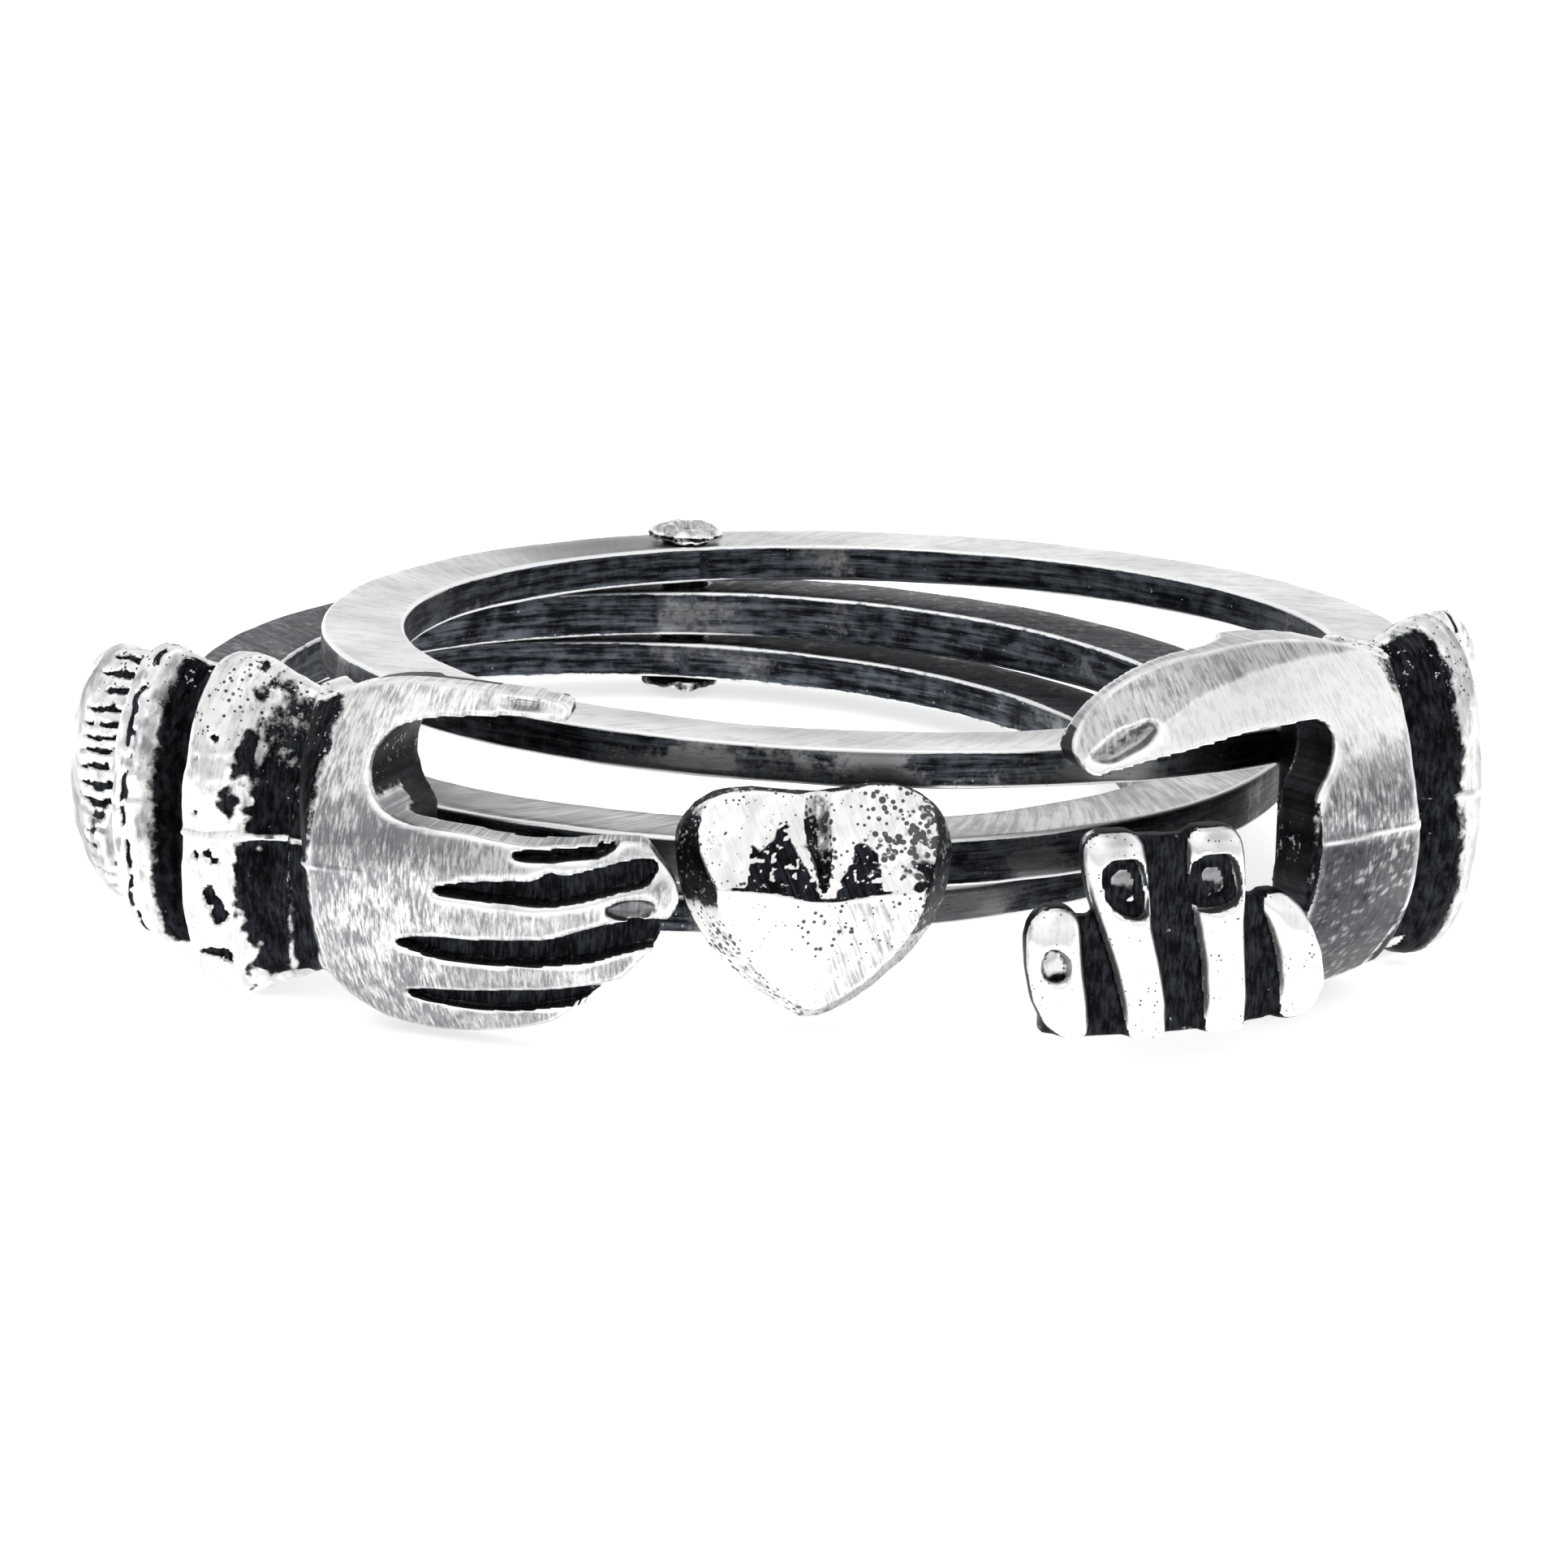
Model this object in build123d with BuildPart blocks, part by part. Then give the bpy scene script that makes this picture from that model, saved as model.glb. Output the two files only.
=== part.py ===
"""Three-hoop claddagh ring: two hands that close over a heart, on hoops that turn on one rivet.

Frame: the origin is the centre of the heart's hoop at half its height, +Z runs along the finger,
the heart faces -Y and the rivet stands at the back, on +Y. Lengths are in millimetres and angles
in degrees. Angles round a hoop count from its front, positive to the right as seen from the front.
"""
import os
from math import cos, degrees, hypot, radians, sin

from build123d import *

# Hoops
inner_radius = 9.0
hoop_width = 1.6
outer_hoop_height = 0.74
middle_hoop_height = 0.92
hoop_gap = 0.15
hoop_edge = 0.1

# How far the ring is fanned open, and how far its upper hoop stands up at the front
right_fan = 15.0
left_fan = 8.7
upper_lift = 2.2

# Rivet
rivet_radius = 0.45
rivet_play = 0.05
rivet_head_radius = 0.83
rivet_head_height = 0.32
rivet_head_gap = 0.08
rivet_lip_share = 0.33
rivet_flat_share = 0.3
rivet_shoulder_share = 0.8

# Layers in front of the hoops, from the inside out
swing_gap = 0.15
nest_gap = 0.15
heart_depth = 1.5
finger_wall = 0.75
grip_wall = 0.85
back_wall = 0.75
palm_wall = 1.15
palm_proud = 0.35
cuff_depth = 2.15
dome_drop = 1.7
thumb_depth = 1.9

# Ornament
hand_height = 6.4
heart_width = 4.96
heart_height = 4.23
heart_middle = -0.53
heart_stem_width = 3.4
joint_overlap = 0.3

# Where each hand begins and ends round its hoop, and how far its foot on the hoop stays inside that
left_wrist = -31.0
left_crotch = -21.5
right_wrist = 27.0
right_palm_edge = 14.0
foot_inset = 2.0

outer_radius = inner_radius + hoop_width
pivot_radius = inner_radius + hoop_width / 2
level_step = middle_hoop_height / 2 + hoop_gap + outer_hoop_height / 2
stack_half = middle_hoop_height / 2 + hoop_gap + outer_hoop_height
hand_half = hand_height / 2
ornament_radius = outer_radius + swing_gap
heart_reach = hypot(ornament_radius + heart_depth, heart_width / 2)
finger_radius = heart_reach + nest_gap
grip_radius = finger_radius + finger_wall + nest_gap
back_radius = finger_radius + back_wall
palm_radius = grip_radius + palm_proud

# Back of the left hand, wrist to crotch: lowest and highest point as shares of half the hand's
# height, and how far its crown and its edges stand in from the back's own radius, as shares of the drop
left_back_sections = [
    # angle from wrist, low, high, crown drop, edge drop
    (-0.5, -0.76, 0.78, 0.55, 1.05),
    (3.0, -0.90, 0.87, 0.20, 1.00),
    (6.5, -0.97, 0.94, 0.00, 1.00),
    (9.5, -0.98, 0.96, 0.00, 1.00),
]

# Palm of the right hand, open edge to wrist, with the same columns
right_palm_sections = [
    # angle from palm edge, low, high, crown drop, edge drop
    (0.0, -0.74, 1.03, 0.06, 1.00),
    (4.5, -0.90, 1.02, 0.00, 1.00),
    (9.5, -0.91, 0.94, 0.20, 1.05),
    (13.5, -0.76, 0.80, 0.70, 1.15),
]

# Straight fingers of the left hand: heights and half width are shares of half the hand's height,
# and the drop is the share of the dome's drop by which the finger lies further in
left_fingers = [
    # root height, tip height, tip angle, half width, drop
    (0.215, 0.235, 1.7, 0.195, 0.08),
    (-0.155, -0.115, 3.6, 0.185, 0.0),
    (-0.515, -0.415, 1.0, 0.185, 0.04),
    (-0.825, -0.625, -1.0, 0.150, 0.26),
]
finger_root_angle = -25.0

# Curled fingers of the right hand: they stand upright, side by side
right_fingers = [
    # top angle, foot angle, top height, half width
    (-9.2, -6.0, -0.24, 0.150),
    (-4.6, -3.4, 0.15, 0.170),
    (3.2, 3.6, 0.18, 0.165),
    (10.2, 11.0, -0.27, 0.160),
]
finger_foot = -1.0

# Taper of both kinds of finger, root to tip: shares of the length, the half width and the wall
straight_taper = [(0.0, 1.0, 1.0), (0.55, 0.97, 1.0), (0.88, 0.85, 0.92), (1.0, 0.5, 0.6)]
curled_taper = [(0.0, 0.9, 0.75), (0.12, 1.0, 1.0), (0.9, 1.0, 1.0), (1.0, 0.75, 0.7)]
finger_edge_share = 0.58

# The web behind the curled fingers, and the foot by which it turns in under the palm
web_wall = 0.4
web_top = -0.30
web_angles = (-8.5, 17.5)
web_foot_angles = (3.0, 19.0)
web_foot_share = 0.11
web_foot_depth = 0.9
finger_sink = 0.2

# Thumbs, root to tip: angle, middle height, half height, inner and outer face as shares of thumb depth
left_thumb_sections = [
    (-25.5, 0.74, 0.215, 0.25, 0.95),
    (-20.0, 0.87, 0.160, 0.20, 0.85),
    (-14.0, 0.93, 0.125, 0.20, 0.75),
    (-7.0, 0.87, 0.050, 0.25, 0.55),
]
right_thumb_sections = [
    (18.0, 0.80, 0.235, 0.35, 1.30),
    (8.0, 0.81, 0.260, 0.25, 1.20),
    (0.5, 0.68, 0.215, 0.25, 1.05),
    (-4.5, 0.46, 0.075, 0.30, 0.75),
]

# Ruffled cuff, wrist outwards: half height and depth as shares of the hand's and the cuff's own
cuff_sections = [
    # angle from wrist, half height, depth
    (-1.5, 0.76, 0.62),
    (3.0, 0.82, 0.56),
    (8.0, 0.92, 0.76),
    (12.5, 1.00, 1.00),
    (14.5, 0.96, 0.94),
    (16.5, 0.80, 0.50),
    (20.0, 0.88, 0.74),
    (24.5, 0.86, 0.70),
    (27.0, 0.70, 0.40),
    (31.0, 0.70, 0.58),
    (36.0, 0.60, 0.50),
    (42.0, 0.24, 0.10),
]
cuff_end = cuff_sections[-1][0]
cuff_edge_share = 0.62

# Heart: places as shares of its half width, its height above and below its middle, and its depth
heart_notch = (0.0, 0.82)
heart_lobe = (0.47, 1.0)
heart_side = (0.99, 0.44)
heart_flank = (0.74, -0.39)
heart_tip = (0.0, -1.0)
heart_ridge = 0.18
heart_top_depth = 0.20
heart_tip_depth = 0.56
heart_margin = 1.2
heart_groove_width = 0.75
heart_groove_depth = 0.45
groove_end_share = 0.05


def hoop_frame(fan, mid_height, lift):
    """The plane of a hoop, at its centre and half its height, with its y axis towards the rivet."""
    turn, rise = radians(fan), radians(lift)
    back = Vector(-sin(turn) * cos(rise), cos(turn) * cos(rise), -sin(rise))
    side = Vector(cos(turn), sin(turn), 0)
    pivot = Vector(0, pivot_radius, mid_height)
    return Plane(origin=pivot - back * pivot_radius, x_dir=side, z_dir=side.cross(back))


def radial(frame, angle):
    """The direction from the hoop's centre to a place round it."""
    return frame.x_dir * sin(radians(angle)) - frame.y_dir * cos(radians(angle))


def section_plane(frame, angle):
    """A plane across the hoop: its x is the distance from the centre, its y the height."""
    outward = radial(frame, angle)
    return Plane(origin=frame.origin, x_dir=outward, z_dir=outward.cross(frame.z_dir))


def level_plane(frame, angle, height):
    """A plane along the hoop at a height: its x is the distance from the centre, its y to the right."""
    return Plane(origin=frame.origin + frame.z_dir * height, x_dir=radial(frame, angle), z_dir=frame.z_dir)


def band(frame, height):
    """A flat hoop with softened edges and a hole for the rivet."""
    with BuildPart() as hoop:
        with BuildSketch(frame):
            Circle(outer_radius)
            Circle(inner_radius, mode=Mode.SUBTRACT)
        extrude(amount=height / 2, both=True)
        fillet(hoop.edges().filter_by(GeomType.CIRCLE), hoop_edge)
        with BuildSketch(Plane.XY.offset(-2 * stack_half)):
            with Locations((0, pivot_radius)):
                Circle(rivet_radius + rivet_play)
        extrude(amount=4 * stack_half, mode=Mode.SUBTRACT)
    return hoop.part


def arc_block(frame, radii, heights, angles):
    """A block that follows the hoop: a rectangle across it, turned from one angle to another."""
    with BuildPart() as block:
        with BuildSketch(section_plane(frame, angles[0])):
            with Locations(((radii[0] + radii[1]) / 2, (heights[0] + heights[1]) / 2)):
                Rectangle(radii[1] - radii[0], heights[1] - heights[0])
        revolve(axis=Axis(frame.origin, frame.z_dir), revolution_arc=angles[1] - angles[0])
    return block.part


def shell(frame, sections, start_angle, crown, wall):
    """A hollow domed shell, lofted round the hoop through sections with an outer and an inner arc."""
    with BuildPart() as hull:
        for angle, low, high, crown_drop, edge_drop in sections:
            top_radius = crown - crown_drop * dome_drop
            edge_radius = crown - edge_drop * dome_drop
            bottom, top = low * hand_half, high * hand_half
            middle = (bottom + top) / 2
            with BuildSketch(section_plane(frame, start_angle + angle)):
                with BuildLine():
                    outer = ThreePointArc((edge_radius, bottom), (top_radius, middle), (edge_radius, top))
                    inner = ThreePointArc((edge_radius - wall, bottom), (top_radius - wall, middle),
                                          (edge_radius - wall, top))
                    Line(outer @ 0, inner @ 0)
                    Line(outer @ 1, inner @ 1)
                make_face()
        loft()
    return hull.part


def bar(planes, profiles):
    """A rounded bar: profiles give inner, edge and crown distance and half width on their planes."""
    with BuildPart() as rod:
        for plane, (inner, edge, crown, middle, half) in zip(planes, profiles):
            with BuildSketch(plane):
                with BuildLine():
                    Polyline((edge, middle - half), (inner, middle - half),
                             (inner, middle + half), (edge, middle + half))
                    ThreePointArc((edge, middle + half), (crown, middle), (edge, middle - half))
                make_face()
        loft(ruled=True)
    return rod.part


def cuff(frame, wrist, side):
    """The ruffled cuff: a flare and two ridges, narrowing to the hoop."""
    planes, profiles = [], []
    for angle, half_share, depth_share in cuff_sections:
        depth = depth_share * cuff_depth
        planes.append(section_plane(frame, wrist + side * angle))
        profiles.append((ornament_radius, ornament_radius + cuff_edge_share * depth,
                         ornament_radius + depth, 0, half_share * hand_half))
    return bar(planes, profiles)


def thumb(frame, sections):
    """A thumb: a tapered bar along the top of the hand."""
    planes, profiles = [], []
    for angle, middle, half, inner, outer in sections:
        inner_face = ornament_radius + inner * thumb_depth
        crown = ornament_radius + outer * thumb_depth
        planes.append(section_plane(frame, angle))
        profiles.append((inner_face, (inner_face + crown) / 2, crown, middle * hand_half, half * hand_half))
    return bar(planes, profiles)


def left_finger(frame, root, tip, tip_angle, half, drop):
    """One straight finger, tapered from the back of the hand to its tip."""
    inner = finger_radius - drop * dome_drop
    planes, profiles = [], []
    for share, width, thickness in straight_taper:
        wall = thickness * finger_wall
        middle = (root + share * (tip - root)) * hand_half
        planes.append(section_plane(frame, finger_root_angle + share * (tip_angle - finger_root_angle)))
        profiles.append((inner, inner + finger_edge_share * wall, inner + wall, middle,
                         width * half * hand_half))
    return bar(planes, profiles)


def right_finger(frame, top_angle, foot_angle, top, half):
    """One curled finger, upright from under the hand to its nail, with its back sunk in the web."""
    inner = grip_radius + finger_sink
    planes, profiles = [], []
    for share, width, thickness in curled_taper:
        wall = thickness * (grip_wall - finger_sink)
        height = (finger_foot + share * (top - finger_foot)) * hand_half
        planes.append(level_plane(frame, foot_angle + share * (top_angle - foot_angle), height))
        profiles.append((inner, inner + finger_edge_share * wall, inner + wall, 0, width * half * hand_half))
    return bar(planes, profiles)


def heart(frame):
    """A heart with a ridge across it: one face slopes back to the lobes, one down to the tip."""
    half_height = heart_height / 2
    back = frame.origin - frame.y_dir * ornament_radius
    front_plane = Plane(origin=back, x_dir=frame.x_dir, z_dir=-frame.y_dir)
    side_plane = Plane(origin=back, x_dir=-frame.y_dir, z_dir=-frame.x_dir)
    top_height = heart_middle + heart_margin * half_height
    low_height = heart_middle - heart_margin * half_height
    ridge_height = heart_middle + heart_ridge * half_height
    with BuildPart() as body:
        with BuildSketch(front_plane):
            with BuildLine():
                for side in (-1, 1):
                    notch, lobe, flank_top, flank, tip = [
                        (side * across * heart_width / 2, heart_middle + up * half_height)
                        for across, up in (heart_notch, heart_lobe, heart_side, heart_flank, heart_tip)]
                    ThreePointArc(notch, lobe, flank_top)
                    ThreePointArc(flank_top, flank, tip)
            make_face()
        extrude(amount=heart_depth)
        with BuildSketch(side_plane):
            with BuildLine():
                Polyline((0, low_height), (heart_tip_depth * heart_depth, low_height),
                         (heart_depth, ridge_height), (heart_top_depth * heart_depth, top_height),
                         (0, top_height), close=True)
            make_face()
        extrude(amount=heart_width, both=True, mode=Mode.INTERSECT)
        for height, face_share, size_share in ((top_height, heart_top_depth, 1),
                                               (ridge_height, 1, groove_end_share)):
            face = face_share * heart_depth
            width, cut = size_share * heart_groove_width, size_share * heart_groove_depth
            level = Plane(origin=back + frame.z_dir * height, x_dir=frame.x_dir, z_dir=frame.z_dir)
            with BuildSketch(level):
                with BuildLine():
                    Polyline((-width, -face - cut), (0, cut - face), (width, -face - cut), close=True)
                make_face()
        loft(ruled=True, mode=Mode.SUBTRACT)
    return body.part


def rivet_pin():
    """The rivet: a pin through the three hoops with a domed head at each end."""
    seat = stack_half + rivet_head_gap
    crown = seat + rivet_head_height
    lip = rivet_lip_share * rivet_head_height
    flat = rivet_flat_share * rivet_head_radius
    shoulder = rivet_shoulder_share * rivet_head_radius
    with BuildPart() as pin:
        with BuildSketch(Plane(origin=(0, pivot_radius, 0), x_dir=(1, 0, 0), z_dir=(0, -1, 0))):
            with BuildLine():
                upper = ThreePointArc((rivet_head_radius, seat + lip), (shoulder, crown - lip),
                                      (flat, crown))
                lower = ThreePointArc((rivet_head_radius, -seat - lip), (shoulder, lip - crown),
                                      (flat, -crown))
                Polyline(upper @ 0, (rivet_head_radius, seat), (rivet_radius, seat),
                         (rivet_radius, -seat), (rivet_head_radius, -seat), lower @ 0)
                Polyline(upper @ 1, (0, crown), (0, -crown), lower @ 1)
            make_face()
        revolve(axis=Axis((0, pivot_radius, 0), (0, 0, 1)))
    return pin.part


heart_frame = hoop_frame(0, 0, 0)
left_frame = hoop_frame(-left_fan, -level_step, 0)
right_frame = hoop_frame(right_fan, level_step, upper_lift)
left_hand_frame = left_frame.offset(level_step)
right_hand_frame = right_frame.offset(-level_step)

half_middle = middle_hoop_height / 2
half_outer = outer_hoop_height / 2
root_radius = outer_radius - joint_overlap
heart_foot_radii = (root_radius, ornament_radius + joint_overlap)
hand_foot_radii = (root_radius, finger_radius + joint_overlap / 2)
foot_heights = (-half_outer, half_outer)
left_hand_foot = (left_wrist + foot_inset, left_crotch)
left_cuff_foot = (left_wrist - cuff_end, left_wrist + 2 * foot_inset)
right_hand_foot = (right_palm_edge + foot_inset, right_wrist - foot_inset)
right_cuff_foot = (right_wrist - 2 * foot_inset, right_wrist + cuff_end)
web_radii = (grip_radius, grip_radius + web_wall)
web_foot_radii = (grip_radius - web_foot_depth, grip_radius + web_wall)
web_heights = (finger_foot * hand_half, web_top * hand_half)
web_foot_heights = (finger_foot * hand_half, finger_foot * hand_half + web_foot_share * hand_height)

with BuildPart() as heart_hoop:
    add(band(heart_frame, middle_hoop_height))
    add(heart(heart_frame))
    stem_angle = degrees(heart_stem_width / 2 / ornament_radius)
    add(arc_block(heart_frame, heart_foot_radii, (-half_middle, half_middle), (-stem_angle, stem_angle)))

with BuildPart() as left_hand_hoop:
    add(band(left_frame, outer_hoop_height))
    add(shell(left_hand_frame, left_back_sections, left_wrist, back_radius, back_wall))
    for finger_row in left_fingers:
        add(left_finger(left_hand_frame, *finger_row))
    add(thumb(left_hand_frame, left_thumb_sections))
    add(cuff(left_hand_frame, left_wrist, -1))
    add(arc_block(left_frame, hand_foot_radii, foot_heights, left_hand_foot))
    add(arc_block(left_frame, heart_foot_radii, foot_heights, left_cuff_foot))

with BuildPart() as right_hand_hoop:
    add(band(right_frame, outer_hoop_height))
    add(shell(right_hand_frame, right_palm_sections, right_palm_edge, palm_radius, palm_wall))
    add(thumb(right_hand_frame, right_thumb_sections))
    add(cuff(right_hand_frame, right_wrist, 1))
    add(arc_block(right_frame, hand_foot_radii, foot_heights, right_hand_foot))
    add(arc_block(right_frame, heart_foot_radii, foot_heights, right_cuff_foot))
    add(arc_block(right_hand_frame, web_radii, web_heights, web_angles))
    add(arc_block(right_hand_frame, web_foot_radii, web_foot_heights, web_foot_angles))
    for finger_row in right_fingers:
        add(right_finger(right_hand_frame, *finger_row))

with BuildPart() as rivet:
    add(rivet_pin())

heart_hoop.part.label = "heart_hoop"
left_hand_hoop.part.label = "left_hand_hoop"
right_hand_hoop.part.label = "right_hand_hoop"
rivet.part.label = "rivet"

os.makedirs("parts", exist_ok=True)
export_step(heart_hoop.part, "parts/heart_hoop.step")
export_step(left_hand_hoop.part, "parts/left_hand_hoop.step")
export_step(right_hand_hoop.part, "parts/right_hand_hoop.step")
export_step(rivet.part, "parts/rivet.step")
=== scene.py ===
# %% [markdown]
# Three-hoop claddagh ring in antiqued silver
#
# This notebook dresses the measured model of the ring: three flat hoops on one rivet, a heart on
# the middle hoop and a hand on each of the others. The solids give the true sizes. The meshes made
# here take their place and add what a caster and a silversmith leave behind: soft rims, engraved
# grooves, blackened hollows and polished high places.

from functools import partial
from math import cos, pi, radians, sin, tau
from types import SimpleNamespace

import bmesh
import bpy
import numpy as np
from mathutils import Matrix, Vector, noise


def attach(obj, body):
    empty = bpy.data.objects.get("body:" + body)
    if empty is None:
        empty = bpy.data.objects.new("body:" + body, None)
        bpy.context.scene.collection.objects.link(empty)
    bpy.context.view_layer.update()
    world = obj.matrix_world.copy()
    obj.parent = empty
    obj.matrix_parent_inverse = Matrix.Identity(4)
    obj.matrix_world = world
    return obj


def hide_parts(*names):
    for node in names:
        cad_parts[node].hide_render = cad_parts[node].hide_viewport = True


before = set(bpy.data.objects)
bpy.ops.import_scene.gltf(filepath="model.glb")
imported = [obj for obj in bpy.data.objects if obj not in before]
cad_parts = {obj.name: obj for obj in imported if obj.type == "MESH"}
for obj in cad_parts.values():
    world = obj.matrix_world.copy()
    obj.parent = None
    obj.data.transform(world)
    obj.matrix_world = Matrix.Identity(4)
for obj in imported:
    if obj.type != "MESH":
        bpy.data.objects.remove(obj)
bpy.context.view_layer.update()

# %% [markdown]
# Working in millimetres
#
# A ring is too small for some of Blender's tools: the voxel remesher stops at a tenth of a
# millimetre. So every piece is modelled as if one unit were one millimetre, and is brought down to
# real metres in its last step. These helpers select, apply and read a mesh, so that the later cells
# can read like steps at the bench.

# %% Helpers for selecting and applying
MM = 0.001


def pick(*objects):
    """Deselects everything, then selects these objects and makes the first one active."""
    if bpy.context.object and bpy.context.object.mode != "OBJECT":
        bpy.ops.object.mode_set(mode="OBJECT")
    bpy.ops.object.select_all(action="DESELECT")
    for obj in objects:
        obj.select_set(True)
    bpy.context.view_layer.objects.active = objects[0]
    return objects[0]


def apply_modifier(obj, kind, **settings):
    """Adds one modifier with its settings and applies it."""
    pick(obj)
    modifier = obj.modifiers.new(kind.lower(), kind)
    for name, value in settings.items():
        setattr(modifier, name, value)
    bpy.ops.object.modifier_apply(modifier=modifier.name)
    return obj


def places(mesh):
    """The vertices of a mesh as rows of x, y, z."""
    flat = np.empty(len(mesh.vertices) * 3)
    mesh.vertices.foreach_get("co", flat)
    return flat.reshape(-1, 3)


def put_places(mesh, rows):
    """Moves the vertices of a mesh to the rows."""
    mesh.vertices.foreach_set("co", np.ascontiguousarray(rows).ravel())
    mesh.update()


def facings(mesh):
    """The vertex normals of a mesh."""
    flat = np.empty(len(mesh.vertices) * 3)
    mesh.vertices.foreach_get("normal", flat)
    return flat.reshape(-1, 3)


def face_outwards(obj):
    """Merges doubles and turns all faces outwards."""
    pick(obj)
    bpy.ops.object.mode_set(mode="EDIT")
    bpy.ops.mesh.select_all(action="SELECT")
    bpy.ops.mesh.remove_doubles(threshold=0.0005)
    bpy.ops.mesh.normals_make_consistent(inside=False)
    bpy.ops.object.mode_set(mode="OBJECT")
    return obj


def fresh(name, size=(1, 1, 1)):
    """Names the object that an operator has just added, and puts its size and place in its mesh."""
    obj = bpy.context.object
    obj.name = obj.data.name = name
    obj.scale = size
    pick(obj)
    bpy.ops.object.transform_apply(location=True, rotation=True, scale=True)
    return obj


# %% [markdown]
# Where the three hoops lie
#
# Each hoop has its own centre, because it has turned about the rivet at the back. The upper hoop
# also stands up a little at the front. A hand is modelled flat, as if its hoop were unrolled: x runs
# along the hoop, z is the height and -y points outwards, so that y holds the distance from the
# centre. One function then rolls the finished hand round its hoop.

# %% Hoop places and the roll
PIVOT_RADIUS = 9.8
LEVEL_STEP = 0.98
UNROLL_RADIUS = 13.0


def hoop_axes(fan, level, lift):
    """Centre and axes (side, back, up) of a hoop, from how far it is turned and lifted."""
    turn, rise = radians(fan), radians(lift)
    back = np.array([-sin(turn) * cos(rise), cos(turn) * cos(rise), -sin(rise)])
    side = np.array([cos(turn), sin(turn), 0.0])
    centre = np.array([0.0, PIVOT_RADIUS, level]) - back * PIVOT_RADIUS
    return centre, side, back, np.cross(side, back)


HOOPS = {
    "left": (hoop_axes(-8.7, -LEVEL_STEP, 0.0), -LEVEL_STEP),
    "heart": (hoop_axes(0.0, 0.0, 0.0), 0.0),
    "right": (hoop_axes(15.0, LEVEL_STEP, 2.2), LEVEL_STEP),
}


def along(angle):
    """Unrolled x of an angle round the hoop, in millimetres."""
    return radians(angle) * UNROLL_RADIUS


def set_down(obj, hoop):
    """Moves a mesh modelled on a hoop's own axes, in millimetres, to its place, in metres."""
    (centre, side, back, up), level = HOOPS[hoop]
    p = places(obj.data)
    world = centre + np.outer(p[:, 0], side) + np.outer(p[:, 1], back) + np.outer(p[:, 2] - level, up)
    put_places(obj.data, world * MM)
    return obj


def roll_up(obj, hoop):
    """Rolls an unrolled mesh round its hoop and sets it down in its place."""
    p = places(obj.data)
    angle, radius = p[:, 0] / UNROLL_RADIUS, -p[:, 1]
    put_places(obj.data, np.c_[radius * np.sin(angle), -radius * np.cos(angle), p[:, 2]])
    return set_down(obj, hoop)


for name, ((centre, _, _, up), _) in HOOPS.items():
    print(f"{name} hoop: centre {np.round(centre, 2)}, axis {np.round(up, 3)}")

# %% [markdown]
# The camera
#
# The photograph was taken from a little over the ring, from slightly to the left, with the camera
# leaning a few degrees. Its place was worked out from the hoops' edges, so the scene's camera is
# simply put there. A long lens keeps the ring's back and front almost the same size.

# %% Camera
CAMERA_PLACE = Vector((-21.19, -163.47, 41.04)) * MM
CAMERA_TARGET = Vector((-0.425, -9.872, 1.35)) * MM
CAMERA_LEAN = radians(2.617)

bpy.ops.object.camera_add(location=CAMERA_PLACE)
camera = bpy.context.object
camera.name = "photo_camera"
camera.data.lens = 202.66
camera.data.sensor_width = 36
camera.data.clip_start = 0.005
toward = (CAMERA_TARGET - CAMERA_PLACE).normalized()
aim = toward.to_track_quat("-Z", "Y").to_matrix()
camera.rotation_euler = (aim @ Matrix.Rotation(CAMERA_LEAN, 3, "Z")).to_euler()
bpy.context.scene.camera = camera
print("camera", round((CAMERA_TARGET - CAMERA_PLACE).length / MM, 1), "mm from the ring")

# %% [markdown]
# Modelling tools for the unrolled pieces
#
# Three kinds of start are enough for the hands: a slab is a grid that is extruded and then shaped by
# an outer and an inner radius, a prism is a filled outline that is extruded, and a loft is a filled
# ring that is extruded from station to station.

# %% Slab, prism and loft
def slab(name, angles, heights, steps, outer, inner):
    """A grid over angles and heights, extruded, with its two radii given by two functions."""
    x0, x1 = along(angles[0]), along(angles[1])
    z0, z1 = heights
    bpy.ops.mesh.primitive_grid_add(x_subdivisions=steps[0], y_subdivisions=steps[1], size=1,
                                    location=((x0 + x1) / 2, 0, (z0 + z1) / 2),
                                    rotation=(pi / 2, 0, 0))
    obj = fresh(name, (x1 - x0, z1 - z0, 1))
    bpy.ops.object.mode_set(mode="EDIT")
    bpy.ops.mesh.select_all(action="SELECT")
    bpy.ops.mesh.extrude_region_move(TRANSFORM_OT_translate={"value": (0, 1, 0)})
    bpy.ops.object.mode_set(mode="OBJECT")
    p = places(obj.data)
    behind = p[:, 1] > 0.5
    angle = np.degrees(p[:, 0] / UNROLL_RADIUS)
    p[:, 1] = -np.where(behind, inner(angle, p[:, 2]), outer(angle, p[:, 2]))
    put_places(obj.data, p)
    return face_outwards(obj)


def closed_curve(points, per_span=6):
    """A smooth closed line through points (angle, height), as unrolled x and z."""
    pts = np.array([(along(a), h) for a, h in points])
    rows = []
    for i in range(len(pts)):
        a, b, c, d = (pts[(i + k) % len(pts)] for k in (-1, 0, 1, 2))
        for t in np.arange(per_span) / per_span:
            rows.append(0.5 * (2 * b + (c - a) * t + (2 * a - 5 * b + 4 * c - d) * t ** 2
                               + (3 * b - a - 3 * c + d) * t ** 3))
    return np.array(rows)


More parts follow.
